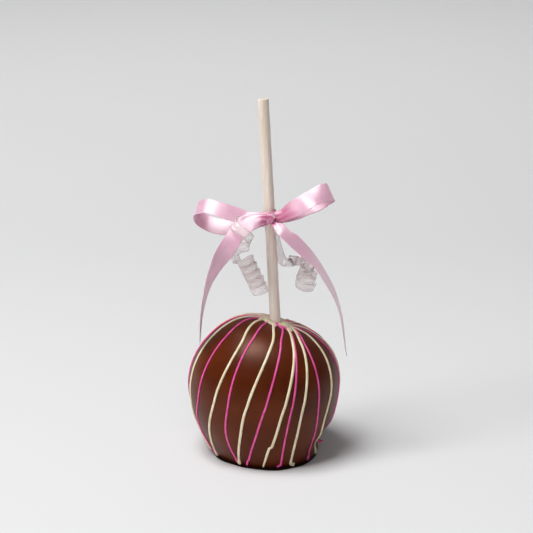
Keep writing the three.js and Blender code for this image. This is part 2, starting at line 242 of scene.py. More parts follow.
class NodeGroup:
    """A Geometry Nodes tree with named inputs that turns a piece into a plain mesh."""

    def __init__(self, name: str, inputs: dict[str, float | int]) -> None:
        """Starts a tree.

        Args:
            name: The tree's name.
            inputs: The named inputs with their values; a whole number makes a whole-number input.
        """
        self.tree = bpy.data.node_groups.new(name, "GeometryNodeTree")
        self.values = inputs
        interface = self.tree.interface
        interface.new_socket("Geometry", in_out="INPUT", socket_type="NodeSocketGeometry")
        self.sockets = {}
        for key, value in inputs.items():
            kind = "NodeSocketInt" if isinstance(value, int) else "NodeSocketFloat"
            self.sockets[key] = interface.new_socket(key, in_out="INPUT", socket_type=kind)
        interface.new_socket("Geometry", in_out="OUTPUT", socket_type="NodeSocketGeometry")
        self.start = self.tree.nodes.new("NodeGroupInput").outputs

    def add(self, kind: str, inputs: dict[str | int, Any] | None = None, **settings: Any) -> bpy.types.Node:
        """Adds a node to the tree, as add_node does."""
        return add_node(self.tree, kind, inputs, **settings)

    def facing_curve(self) -> bpy.types.NodeSocket:
        """Turns the piece's edges into a curve that faces the way its outward attribute says.

        Returns:
            The curve.
        """
        line = self.add("GeometryNodeMeshToCurve", {"Mesh": self.start["Geometry"]}).outputs[0]
        outward = self.add("GeometryNodeInputNamedAttribute", {"Name": OUTWARD}, data_type="FLOAT_VECTOR")
        inputs = {"Curve": line, "Normal": outward.outputs["Attribute"]}
        return self.add("GeometryNodeSetCurveNormal", inputs, mode="FREE").outputs[0]

    def end(self, geometry: bpy.types.NodeSocket, material: bpy.types.Material) -> None:
        """Closes the tree with real geometry, smooth faces and the material.

        Args:
            geometry: What the tree has made.
            material: The material that it gets.
        """
        real = self.add("GeometryNodeRealizeInstances", {"Geometry": geometry})
        even = self.add("GeometryNodeSetShadeSmooth", {"Geometry": real.outputs[0]})
        dressed = self.add("GeometryNodeSetMaterial", {"Geometry": even.outputs[0], "Material": material})
        self.add("NodeGroupOutput", {"Geometry": dressed.outputs[0]})

    def apply(self, piece: bpy.types.Object) -> bpy.types.Object:
        """Runs the tree on a piece.

        Args:
            piece: The piece, which becomes a plain mesh.

        Returns:
            The piece.
        """
        modifier = piece.modifiers.new(self.tree.name, "NODES")
        modifier.node_group = self.tree
        for key, value in self.values.items():
            modifier[self.sockets[key].identifier] = value
        return flatten(piece)


# ---- Finishes ----


class Finish:
    """A material with a Principled shader, built from nodes."""

    def __init__(self, name: str, **sockets: Any) -> None:
        """Starts a material.

        Args:
            name: The material's name.
            **sockets: Values that are the same all over, by shader input with _ for a space.
        """
        self.material = bpy.data.materials.new(name)
        self.material.use_nodes = True
        self.tree = self.material.node_tree
        self.shader = self.tree.nodes["Principled BSDF"]
        for key, value in sockets.items():
            self.shader.inputs[key.replace("_", " ")].default_value = value
        self.place = self.add("ShaderNodeTexCoord").outputs["Object"]

    def add(self, kind: str, inputs: dict[str | int, Any] | None = None, **settings: Any) -> bpy.types.Node:
        """Adds a node to the material, as add_node does."""
        return add_node(self.tree, kind, inputs, **settings)

    def noise(
        self, size: float, detail: float = 2.0, vector: bpy.types.NodeSocket | None = None
    ) -> bpy.types.NodeSocket:
        """Gives a cloudy pattern.

        Args:
            size: The size of a cloud in millimetres.
            detail: How many finer layers it has.
            vector: Where it is read, which is the piece's own place if left out.

        Returns:
            The pattern, from 0 to 1.
        """
        inputs = {"Vector": vector or self.place, "Scale": 1 / (size * MM), "Detail": detail}
        return self.add("ShaderNodeTexNoise", inputs).outputs["Fac"]

    def blend(self, share: bpy.types.NodeSocket, stops: dict[float, str]) -> bpy.types.NodeSocket:
        """Runs from colour to colour as a pattern rises.

        Args:
            share: The pattern.
            stops: Hex colours by the pattern's value.

        Returns:
            The colour.
        """
        ramp = self.add("ShaderNodeValToRGB", {"Fac": share})
        points = ramp.color_ramp.elements
        while len(points) < len(stops):
            points.new(0.5)
        for point, (at, colour) in zip(points, stops.items()):
            point.position = at
            point.color = linear(colour)
        return ramp.outputs["Color"]

    def spread(self, share: bpy.types.NodeSocket, low: float, high: float) -> bpy.types.NodeSocket:
        """Maps a pattern's 0 to 1 onto low to high."""
        inputs = {"Value": share, "To Min": low, "To Max": high}
        return self.add("ShaderNodeMapRange", inputs).outputs["Result"]

    def bump(self, height: bpy.types.NodeSocket, depth: float) -> bpy.types.NodeSocket:
        """Gives the normal of a surface that a pattern raises by a depth in millimetres."""
        return self.add("ShaderNodeBump", {"Height": height, "Distance": depth * MM}).outputs["Normal"]

    def link(self, **sockets: bpy.types.NodeSocket) -> "Finish":
        """Links patterns to the shader.

        Args:
            **sockets: What to link, by shader input with _ for a space.

        Returns:
            The finish.
        """
        for key, socket in sockets.items():
            self.tree.links.new(socket, self.shader.inputs[key.replace("_", " ")])
        return self


@dataclass(frozen=True)
class MilkChocolate:
    """Milk chocolate couverture, dipped and set: a close satin gloss, faintly cloudy, with painted shade at
    the foot.
    """

    dark: str = "431605"
    light: str = "5e2507"
    cloud: float = 22.0  # patches where the coat set a little faster or slower
    ripple: float = 2.4  # the soft orange peel of a coat that has run down
    ripple_depth: float = 0.012
    gloss: str = "ffdcc6"
    roughness: tuple[float, float] = (0.35, 0.42)
    # painted shade: the coat's lowest millimetres, under its overhang and on the thin edge at the floor,
    # are painted near black
    foot: str = "1a0c07"
    foot_shade_height: tuple[float, float] = (0.7, 2.5)

    def make(self) -> bpy.types.Material:
        """Builds the material.

        Returns:
            The material.
        """
        gloss = linear(self.gloss)
        finish = Finish("dipped_milk_chocolate", IOR=1.49, Specular_IOR_Level=0.28, Specular_Tint=gloss)
        cloud = finish.noise(self.cloud, 3.0)
        fine = finish.noise(self.ripple)
        skin = finish.blend(cloud, {0.3: self.dark, 0.7: self.light})
        # painted shade: the coat darkens to the foot colour below the foot's shade height
        height = finish.add("ShaderNodeSeparateXYZ", {0: finish.place}).outputs["Z"]
        low, high = (h * MM for h in self.foot_shade_height)
        inputs = {"Value": height, "From Min": low, "From Max": high}
        risen = finish.add("ShaderNodeMapRange", inputs, interpolation_type="SMOOTHSTEP").outputs["Result"]
        inputs = {MIX_SHARE: risen, MIX_FIRST: linear(self.foot), MIX_SECOND: skin}
        colour = finish.add("ShaderNodeMix", inputs, data_type="RGBA").outputs[MIX_RESULT]
        return finish.link(
            Base_Color=colour,
            Roughness=finish.spread(cloud, *self.roughness),
            Normal=finish.bump(fine, self.ripple_depth),
        ).material


@dataclass(frozen=True)
class PouredIcing:
    """Candy melt poured in a thread: opaque, faintly waxy, a little darker where it is thin."""

    name: str
    dark: str
    light: str
    cloud: float = 3.5  # thick and thin stretches of a thread
    grain: float = 0.7  # the waxy skin that it sets with
    grain_depth: float = 0.02
    roughness: tuple[float, float] = (0.38, 0.5)

    def make(self) -> bpy.types.Material:
        """Builds the material.

        Returns:
            The material.
        """
        finish = Finish(self.name, IOR=1.46, Subsurface_Weight=0.15, Subsurface_Scale=0.8 * MM)
        cloud = finish.noise(self.cloud)
        return finish.link(
            Base_Color=finish.blend(cloud, {0.3: self.dark, 0.65: self.light}),
            Roughness=finish.spread(cloud, *self.roughness),
            Normal=finish.bump(finish.noise(self.grain), self.grain_depth),
        ).material


@dataclass(frozen=True)
class TurnedBirch:
    """Birch dowel, turned and left bare: pale, close-grained, with faint long pores."""

    lean: float
    dark: str = "dccbb9"
    light: str = "f0e4d8"
    pore: float = 0.5  # real pores are under 0.1 mm wide, drawn coarser so that they show
    pore_stretch: float = 0.035
    pore_depth: float = 0.03
    band: float = 5.0  # paler and darker growth
    roughness: tuple[float, float] = (0.55, 0.72)

    def make(self) -> bpy.types.Material:
        """Builds the material, with the grain along the leaning stick.

        Returns:
            The material.
        """
        finish = Finish("turned_birch", IOR=1.5, Specular_IOR_Level=0.5)
        turn = (0.0, math.radians(self.lean), 0.0)
        inputs = {"Vector": finish.place, "Rotation": turn, "Scale": (1.0, 1.0, self.pore_stretch)}
        along = finish.add("ShaderNodeMapping", inputs).outputs["Vector"]
        pores = finish.noise(self.pore, 3.0, along)
        bands = finish.noise(self.band, 2.0, along)
        both = finish.add("ShaderNodeMath", {0: pores, 1: bands}, operation="ADD").outputs[0]
        share = finish.add("ShaderNodeMath", {0: both, 1: 0.5}, operation="MULTIPLY").outputs[0]
        return finish.link(
            Base_Color=finish.blend(share, {0.38: self.dark, 0.56: self.light}),
            Roughness=finish.spread(pores, *self.roughness),
            Normal=finish.bump(pores, self.pore_depth),
        ).material


@dataclass(frozen=True)
class WovenSatin:
    """Polyester satin ribbon: long floats along it give one bright band where it turns to the light; the
    folds near the knot get painted shade and bounced light in deep pink.
    """

    dark: str = "e09fb9"
    light: str = "ebb5ca"
    # painted shade and bounced light: the deep pink of the folds near the knot
    gathered: str = "c42c7a"
    float_spacing: float = 0.45  # real floats are 0.1 mm apart, drawn coarser so that they show
    float_stretch: float = 0.04
    float_depth: float = 0.006
    roughness: tuple[float, float] = (0.47, 0.53)
    UV_NAME: ClassVar[str] = "along_ribbon"
    FOLD_SHADE_NAME: ClassVar[str] = "gather"

    def make(self) -> bpy.types.Material:
        """Builds the material, with its floats along the ribbon's own UV map.

        Returns:
            The material.
        """
        finish = Finish(
            "woven_satin",
            IOR=2.0,
            Anisotropic=0.88,
            Specular_IOR_Level=1.0,
            Sheen_Weight=0.8,
            Sheen_Roughness=0.5,
            Subsurface_Weight=0.5,
            Subsurface_Scale=1.0 * MM,
            Subsurface_Radius=(1.0, 1.0, 1.0),
        )
        map_name = {"uv_map": self.UV_NAME}
        flat = finish.add("ShaderNodeUVMap", **map_name).outputs["UV"]
        stretch = (1.0, self.float_stretch, 1.0)
        threads = finish.add("ShaderNodeMapping", {"Vector": flat, "Scale": stretch}).outputs["Vector"]
        floats = finish.noise(self.float_spacing, 2.0, threads)
        tangent = finish.add("ShaderNodeTangent", direction_type="UV_MAP", **map_name)
        # painted shade and bounced light of the folds near the knot, mixed in as deep pink
        gather = finish.add("ShaderNodeAttribute", attribute_name=self.FOLD_SHADE_NAME).outputs["Fac"]
        cloth = finish.blend(floats, {0.3: self.dark, 0.7: self.light})
        inputs = {MIX_SHARE: gather, MIX_FIRST: cloth, MIX_SECOND: linear(self.gathered)}
        return finish.link(
            Base_Color=finish.add("ShaderNodeMix", inputs, data_type="RGBA").outputs[MIX_RESULT],
            Roughness=finish.spread(floats, *self.roughness),
            Normal=finish.bump(floats, self.float_depth),
            Tangent=tangent.outputs["Tangent"],
        ).material


@dataclass(frozen=True)
class ClearFilm:
    """Clear polypropylene curling ribbon: glossy and nearly clear, denser along its two cut edges, with a
    faint pink and brown tint, deeper at the edges, that is painted reflection of the bow and the chocolate.
    """

    # painted reflection: the faint pink of the face and the browner pink of the edges stand for the bow and
    # the chocolate seen in the film
    clear: str = "f6ebea"
    hem: str = "e6d6d0"
    facing_alpha: float = 0.3
    slant_alpha: float = 0.46
    slant_blend: float = 0.35
    hem_alpha: float = 0.46
    hem_reach: tuple[float, float] = (0.36, 0.47)  # from the middle, where the cut edge is at 0.5
    scuff: float = 0.5  # the faint scuffs that the curling blade leaves
    scuff_depth: float = 0.01
    SIDE_NAME: ClassVar[str] = "film_side"

    def make(self) -> bpy.types.Material:
        """Builds the material, denser where the film is seen along its face and at its edges.

        Returns:
            The material.
        """
        finish = Finish("curled_clear_film", IOR=1.7, Specular_IOR_Level=1.0, Roughness=0.24)
        slant = finish.add("ShaderNodeLayerWeight", {"Blend": self.slant_blend}).outputs["Facing"]
        side = finish.add("ShaderNodeAttribute", attribute_name=self.SIDE_NAME).outputs["Fac"]
        away = finish.add("ShaderNodeMath", {0: side}, operation="ABSOLUTE").outputs[0]
        inputs = {"Value": away, "From Min": self.hem_reach[0], "From Max": self.hem_reach[1]}
        hem = finish.add("ShaderNodeMapRange", inputs, interpolation_type="SMOOTHSTEP").outputs["Result"]
        face_alpha = finish.spread(slant, self.facing_alpha, self.slant_alpha)
        inputs = {0: face_alpha, 1: finish.spread(hem, 0.0, self.hem_alpha)}
        scuffs = finish.noise(self.scuff, 1.0)
        # painted reflection: the colour runs from the face tint to the edge tint towards the cut edges
        return finish.link(
            Base_Color=finish.blend(hem, {0.0: self.clear, 1.0: self.hem}),
            Alpha=finish.add("ShaderNodeMath", inputs, operation="MAXIMUM").outputs[0],
            Normal=finish.bump(scuffs, self.scuff_depth),
        ).material


@dataclass(frozen=True)
class StudioPaper:
    """Matt white paper sweep, which is not part of the object."""

    colour: str = "e6e6e7"

    def make(self) -> bpy.types.Material:
        """Builds the material."""
        paper = linear(self.colour)
        return Finish("matt_white_paper", Base_Color=paper, Roughness=0.9, Specular_IOR_Level=0.1).material


# ---- Apple ----


@dataclass(frozen=True)
class AppleForm:
    """The skin of the chocolate, by latitude (0 crown, 1 belly, 2 base) and azimuth."""

    radius: float = 40.0
    belly_height: float = 39.2
    crown_height: float = 73.0
    crown_power: float = 2.07
    base_radius: float = 28.6
    taper_power: float = 1.68
    crown_tilt: float = 8.0
    crown_tilt_power: float = 13.0
    belly_sag: float = 2.15
    base_shift: float = 1.4
    lobe_count: int = 3
    lobe_depth: float = 1.1
    lobe_azimuth: float = 15.0
    dent_depth: float = 5.4
    dent_azimuth: float = 85.0
    dent_spread: float = 28.0
    dent_height: float = 9.0
    dent_reach: float = 6.0
    stick_x: float = 6.0  # where the rings of the crown gather
    foot_round: float = 0.8
    foot_turn_in: float = 0.98  # how much of a quarter round the foot's edge turns under
    foot_waves: tuple[int, int] = (5, 11)  # the uneven edge, as two waves round the foot
    foot_wave_turn: float = 40.0
    foot_wave_share: float = 0.6
    foot_unevenness: float = 0.3
    shadow_puddle_reach: float = 2.5  # a thin edge of set chocolate, widest at the front, that stands in for the contact shadow and takes the painted shade of the foot
    shadow_puddle_height: tuple[float, float] = (0.3, 1.1)
    shadow_puddle_sides: tuple[float, float] = (-0.1, 0.9)  # cosines of where it starts and is at its widest
    shadow_puddle_unevenness: float = 0.2
    BASE_LATITUDE: ClassVar[float] = 2.0

    def crown(self, x: np.ndarray, y: np.ndarray) -> np.ndarray:
        """Gives the height of the crown over points, before the apple leans and sags.

        Args:
            x: How far right each point is.
            y: How far back each point is.

        Returns:
            The heights.
        """
        share = np.minimum(np.hypot(x, y) / self.radius, 1.0)
        rise = (1 - share**self.crown_power) ** (1 / self.crown_power)
        return self.belly_height + (self.crown_height - self.belly_height) * rise

    def lean(self, points: np.ndarray) -> np.ndarray:
        """Tilts the crown and lets one side of the belly sag.

        Args:
            points: Points on the upright apple.

        Returns:
            The moved points.
        """
        height = np.clip(points[..., 2] / self.crown_height, 0.0, 1.0)
        side = points[..., 0] / self.radius
        tilt = self.crown_tilt * height**self.crown_tilt_power * side
        sag = self.belly_sag * 2 * height * (1 - height) * (1 - side)
        moved = points.copy()
        moved[..., 2] -= tilt + sag
        return moved

    def foot_relief(self, azimuth: np.ndarray, height: np.ndarray) -> np.ndarray:
        """Shapes the foot: soft lobes, one dent, a rounded edge and a thin edge of set chocolate round it,
        which stands in for the contact shadow at the front.

        Args:
            azimuth: Azimuths.
            height: Heights of the same shape.

        Returns:
            How far each place stands out of its ring.
        """
        drop = np.maximum(1 - height / self.belly_height, 0.0)
        lobe_angle = self.lobe_count * (azimuth - self.lobe_azimuth)
        lobes = self.lobe_depth * drop**3 * np.cos(np.radians(lobe_angle))
        turn = (azimuth - self.dent_azimuth + FULL_TURN / 2) % FULL_TURN - FULL_TURN / 2
        above = (height - self.dent_height) / self.dent_reach
        hollow = np.exp(-((turn / self.dent_spread) ** 2)) * np.exp(-(above**2))
        slow, quick = self.foot_waves
        uneven = np.sin(np.radians(slow * azimuth + self.foot_wave_turn))
        uneven = uneven + self.foot_wave_share * np.sin(np.radians(quick * azimuth))
        edge = self.foot_round + self.foot_unevenness * uneven / (1 + self.foot_wave_share)
        under = np.clip((edge - height) / edge, 0.0, 1.0)
        tuck = edge * (1 - np.sqrt(1 - under**2 * self.foot_turn_in))
        # a thin edge of coat at the floor, widest at the front, that stands in for the contact shadow and
        # takes the painted shade of the foot
        front = smoothstep(np.cos(np.radians(azimuth)), *self.shadow_puddle_sides)
        reach = self.shadow_puddle_reach * front * (1 + self.shadow_puddle_unevenness * uneven)
        shadow_puddle = reach * (1 - smoothstep(height, *self.shadow_puddle_height))
        return np.where(drop > 0, lobes - self.dent_depth * hollow - tuck + shadow_puddle, 0.0)

    def point(self, latitude: np.ndarray | float, azimuth: np.ndarray | float) -> np.ndarray:
        """Gives points on the chocolate.

        Args:
            latitude: Latitudes from 0 to 2.
            azimuth: Azimuths of the same shape.

        Returns:
            A row of x, y and z for each.
        """
        latitude, azimuth = np.broadcast_arrays(np.asarray(latitude, float), np.asarray(azimuth, float))
        rise = np.clip(1 - latitude, 0.0, 1.0) * math.pi / 2
        drop = np.clip(latitude - 1, 0.0, 1.0)
        above = latitude < 1
        height = self.belly_height * (1 - drop)
        flank = self.radius - (self.radius - self.base_radius) * drop**self.taper_power
        reach = np.where(
            above,
            self.radius * np.cos(rise) ** (2 / self.crown_power),
            flank + self.foot_relief(azimuth, height),
        )
        gather = self.stick_x * (1 - smoothstep(reach, 0.0, self.radius))
        shift = np.where(above, gather, self.base_shift * drop**2)
        x = shift + reach * np.sin(np.radians(azimuth))
        y = -reach * np.cos(np.radians(azimuth))
        z = np.where(above, self.crown(x, y), height)
        return self.lean(np.stack([x, y, z], axis=-1))

    def normal(self, latitude: np.ndarray, azimuth: np.ndarray) -> np.ndarray:
        """Gives the outward directions at points on the chocolate.

        Args:
            latitude: Latitudes from 0 to 2.
            azimuth: Azimuths of the same shape.

        Returns:
            A row of x, y and z, of length 1, for each.
        """
        step, turn = 0.01, 1.0
        down = self.point(latitude + step, azimuth) - self.point(latitude - step, azimuth)
        around = self.point(latitude, azimuth + turn) - self.point(latitude, azimuth - turn)
        return unit(np.cross(down, around))


@dataclass(frozen=True)
class StickLine:
    """The stick's axis, radius and length, the same as the CAD node's."""

    foot: tuple[float, float, float] = (6.0, 0.0, 71.8)
    lean: float = 3.05
    radius: float = 2.8
    length: float = 165.0
    exposed: float = 119.5

    @property
    def direction(self) -> np.ndarray:
        """The way up the stick."""
        return np.array([-math.sin(math.radians(self.lean)), 0.0, math.cos(math.radians(self.lean))])

    def at(self, distance: np.ndarray | float) -> np.ndarray:
        """Gives points on the axis at distances up from the chocolate."""
        return np.array(self.foot) + np.multiply.outer(distance, self.direction)

    def rings(self, distances: Sequence[float], radii: Sequence[float], sides: int) -> np.ndarray:
        """Gives rings of points round the axis.

        Args:
            distances: Each ring's distance up from the chocolate.
            radii: Each ring's radius.
            sides: The number of points of a ring.

        Returns:
            The points, ring after ring, turning the way that azimuths do.
        """
        angle = np.arange(sides) * 2 * math.pi / sides
        side = np.array([math.cos(math.radians(self.lean)), 0.0, math.sin(math.radians(self.lean))])
        round_axis = np.outer(np.sin(angle), side) - np.outer(np.cos(angle), [0.0, 1.0, 0.0])
        made = [self.at(d) + r * round_axis for d, r in zip(distances, radii)]
        return np.concatenate(made)


@dataclass
class ChocolateCoat:
    """The coated apple, with the hole that the stick is pushed into."""

    form: AppleForm
    stick: StickLine
    sectors: int = 224
    crown_rings: int = 84
    flank_rings: int = 120
    flank_crowding: float = 0.35  # draws the rings together towards the foot
    first_latitude: float = 0.05
    hole_depth: float = 45.5
    hole_rim: float = 2.0
    hole_gap: float = 0.05
    swell_height: float = 0.35
    swell_size: float = 26.0
    dimple_height: float = 0.05
    dimple_size: float = 5.0
    relief_height: tuple[float, float] = (1.5, 8.0)
    weld_reach: float = 0.01

    def build(self) -> bpy.types.Object:
        """Builds and dresses the coat.

        Returns:
            The coat.
        """
        azimuths = np.arange(self.sectors) * FULL_TURN / self.sectors
        crown = np.linspace(self.first_latitude, 1, self.crown_rings, endpoint=False)
        spacing = np.linspace(0, 1, self.flank_rings)
        flank = 1 + spacing * (2 - spacing) ** self.flank_crowding
        skin = np.concatenate([crown, np.minimum(flank, self.form.BASE_LATITUDE)])
        body = self.form.point(skin[:, None], azimuths[None, :]).reshape(-1, 3)
        hole_radius = self.stick.radius + self.hole_gap
        depths = [-self.hole_depth, -self.hole_depth, -self.hole_rim]
        hole = self.stick.rings(depths, [0.0, hole_radius, hole_radius], self.sectors)
        base = body[-self.sectors :] * np.array([0.0, 0.0, 1.0]) + [self.form.base_shift, 0.0, 0.0]
        points = np.concatenate([hole, body, base])
        rows = len(points) // self.sectors
        faces = [face[::-1] for face in grid_faces(rows, self.sectors, wrap=True)]
        piece = plain_mesh("chocolate_coat", points, faces)
        free = smoothstep(points[:, 2], *self.relief_height)
        free[: len(hole) + self.sectors] = 0.0  # the hole and the ring round it stay as they are
        store(piece, RELIEF, free)
        self.relief().apply(piece)
        return hand_over(piece, ["chocolate_apple"])

    def relief(self) -> NodeGroup:
        """Builds the tree that gives the skin its soft swells and dimples and closes its poles.

        Returns:
            The tree.
        """
        sizes = {
            "Swell Height": self.swell_height * MM,
            "Swell Size": self.swell_size * MM,
            "Dimple Height": self.dimple_height * MM,
            "Dimple Size": self.dimple_size * MM,
            "Weld Reach": self.weld_reach * MM,
        }
        group = NodeGroup("DippedRelief", sizes)
        where = group.add("GeometryNodeInputPosition").outputs[0]
        heights = []
        for kind in ("Swell", "Dimple"):
            size, depth = group.start[f"{kind} Size"], group.start[f"{kind} Height"]
            scale = group.add("ShaderNodeMath", {0: 1.0, 1: size}, operation="DIVIDE")
            inputs = {"Vector": where, "Scale": scale.outputs[0], "Detail": 1.0}
            noise = group.add("ShaderNodeTexNoise", inputs)
            inputs = {0: noise.outputs["Fac"], 1: NOISE_MIDDLE}
            even = group.add("ShaderNodeMath", inputs, operation="SUBTRACT")
            inputs = {0: even.outputs[0], 1: depth}
            heights.append(group.add("ShaderNodeMath", inputs, operation="MULTIPLY").outputs[0])
        total = group.add("ShaderNodeMath", {0: heights[0], 1: heights[1]}, operation="ADD")
        free = group.add("GeometryNodeInputNamedAttribute", {"Name": RELIEF}, data_type="FLOAT")
        inputs = {0: total.outputs[0], 1: free.outputs["Attribute"]}
        held = group.add("ShaderNodeMath", inputs, operation="MULTIPLY")
        normal = group.add("GeometryNodeInputNormal").outputs["Normal"]
        inputs = {0: normal, "Scale": held.outputs[0]}
        offset = group.add("ShaderNodeVectorMath", inputs, operation="SCALE")
        inputs = {"Geometry": group.start["Geometry"], "Offset": offset.outputs[0]}
        moved = group.add("GeometryNodeSetPosition", inputs)
        inputs = {"Geometry": moved.outputs[0], "Distance": group.start["Weld Reach"]}
        joined = group.add("GeometryNodeMergeByDistance", inputs)
        group.end(joined.outputs[0], MilkChocolate().make())
        return group


# ---- Icing ----


class Icing(Enum):
    """The two icings, with their usual thread widths."""

    CREAM = 1.42
    PINK = 1.08

    @property
    def slot(self) -> str:
        """The icing's name with _icing after it."""
        return f"{self.name.lower()}_icing"

    def finish(self) -> PouredIcing:
        """Gives the icing's finish.

        Returns:
            The finish, with the icing's own two colours.
        """
        if self is Icing.CREAM:
            return PouredIcing("poured_cream_icing", dark="dccda4", light="ede3c6")
        return PouredIcing("poured_pink_icing", dark="d8428f", light="e95fa7")


@dataclass(frozen=True)
class Pour:
    """One poured line.

    Attributes:
        icing: Which icing it is.
        azimuths: Where it runs, at each of IcingPour.LATITUDES.
        foot_swell: How much wider its foot is, as a share of its width.
        foot_turn: How many degrees its foot turns aside.
        kink: The latitude of a kink and how many degrees it jumps there.
        end: The latitude where it ends.
        foot_lift: How far its foot stands off the chocolate.
    """

    icing: Icing
    azimuths: tuple[float, ...]
    foot_swell: float = 0.35
    foot_turn: float = 0.0
    kink: tuple[float, float] | None = None
    end: float = 1.975
    foot_lift: float = 0.0


@dataclass
class IcingPour:
    """The poured lines of both icings and the pools where they meet round the stick."""

    form: AppleForm
    rise: float = 0.36  # half the height of a thread, as a share of its width
    lift: float = 0.1  # of its middle above the chocolate, as a share of its width
    step: float = 0.35
    route_samples: int = 400
    sides: int = 14
    waver: float = 0.12
    waver_size: float = 9.0
    back_lines: int = 13
    back_sway: float = 2.5
    back_phases: tuple[float, float] = (2.4, 1.3)  # from line to line and down each line
    back_swells: tuple[float, ...] = (0.3, 0.5, 0.7)
    kink_reach: float = 0.012  # in latitude, as the next one is
    foot_turn_reach: float = 0.06
    foot_place: float = 1.0  # of its widest part, from its end
    foot_length: float = 2.2
    foot_lift_reach: tuple[float, float] = (0.5, 5.0)  # from its end
    kink_thinning: float = 0.28  # how much narrower a kinked line gets from its kink to its end
    tip: float = 0.05  # how wide a line's very end is, as a share of its width
    pool_grain: float = 0.22  # the size of the cells in which blobs run together
    pool_melt: float = 0.5
    pool_melt_rounds: int = 8
    LATITUDES: ClassVar[tuple[float, ...]] = (0.075, 0.15, 0.3, 0.5, 1.0, 1.5, 1.97)
    # Each blob lies at an azimuth and a distance from the stick's axis, with its half sizes round the
    # stick, away from it and upwards.
    BLOBS: ClassVar[dict[Icing, tuple[tuple[float, ...], ...]]] = {
        Icing.CREAM: (
            (-60, 4.5, 3.2, 2.4, 1.2),
            (-92, 5.2, 3.4, 2.6, 1.1),
            (-24, 4.6, 2.4, 2.2, 0.9),
            (-6, 5.8, 1.3, 2.6, 0.8),
            (-78, 7.4, 1.6, 1.8, 0.8),
            (38, 5.0, 2.4, 2.4, 1.2),
            (64, 5.8, 3.2, 3.0, 1.5),
            (92, 5.4, 3.0, 2.6, 1.2),
            (120, 5.0, 2.8, 2.2, 1.0),
            (50, 8.6, 1.5, 3.0, 0.9),
            (74, 8.2, 1.8, 2.2, 0.9),
            (226, 5.0, 2.8, 2.0, 1.0),
            (250, 5.2, 2.6, 2.0, 0.9),
            (150, 5.0, 2.2, 1.8, 0.9),
        ),
        Icing.PINK: (
            (12, 4.3, 1.5, 1.6, 1.1),
            (26, 6.4, 1.4, 2.6, 0.9),
            (44, 7.8, 1.3, 2.2, 0.8),
            (172, 4.6, 2.2, 1.6, 0.9),
            (196, 4.8, 2.4, 1.6, 0.9),
            (212, 6.4, 1.6, 1.4, 0.8),
            (280, 6.6, 1.5, 1.6, 0.7),
            (82, 6.8, 1.5, 1.5, 0.8),
        ),
    }
    BLOB_RINGS: ClassVar[int] = 12

    def front(self) -> list[Pour]:
        """Lists the front lines, from left to right.

        Returns:
            The lines.
        """
        cream, pink = Icing.CREAM, Icing.PINK
        return [
            Pour(pink, (-118, -112, -103, -98, -91, -94, -97)),
            Pour(cream, (-104, -98, -88, -81, -75, -81, -85)),
            Pour(pink, (-93, -84, -65, -57, -58.5, -71.5, -69), foot_turn=3),
            Pour(cream, (-80, -60, -40, -31.5, -40, -52.5, -64), foot_turn=-1),
            Pour(pink, (-44, -33, -23.5, -22.5, -27.5, -33, -31), foot_turn=2),
            Pour(cream, (-8, -1, 5, 2, -12.5, -20.5, -29.5), foot_swell=0.5),
            Pour(pink, (40, 28, 18, 14, 1.5, -8, -19.5), kink=(1.87, -1.0), foot_swell=0.5),
            Pour(cream, (50, 47, 36.5, 30, 16, 8, -1.5), kink=(1.63, -1.8), foot_swell=0.1),
            Pour(pink, (55, 50, 39, 32, 22, 17, 14), foot_turn=-4),
            Pour(cream, (74, 70, 51, 43, 31.5, 27, 24), foot_turn=5, foot_swell=0.6),
            Pour(pink, (82, 78, 58, 49, 45.5, 46.5, 48), foot_swell=0.8),
            Pour(cream, (84, 84, 79.5, 70.5, 61, 56, 70), foot_swell=0.8),
            Pour(pink, (90, 90, 94, 87, 82, 79, 76), foot_swell=3.2, end=1.87, foot_lift=3.0),
        ]

    def back(self) -> list[Pour]:
        """Carries the lines on round the back, evenly but for a little sway.

        Returns:
            The lines, from right to left as seen from the front.
        """
        front = self.front()
        per_line, per_knot = self.back_phases
        last, first = np.array(front[-1].azimuths), np.array(front[0].azimuths) + FULL_TURN
        pours = []
        for index in range(self.back_lines):
            share = (index + 1) / (self.back_lines + 1)
            phases = [per_line * index + per_knot * i for i in range(len(first))]
            sway = [self.back_sway * math.sin(phase) for phase in phases]
            sway[0] = 0.0
            icing = Icing.PINK if index % 2 else Icing.CREAM
            azimuths = last + (first - last) * share + sway
            swell = self.back_swells[index % len(self.back_swells)]
            pours.append(Pour(icing, tuple(azimuths), foot_swell=swell))
        return pours

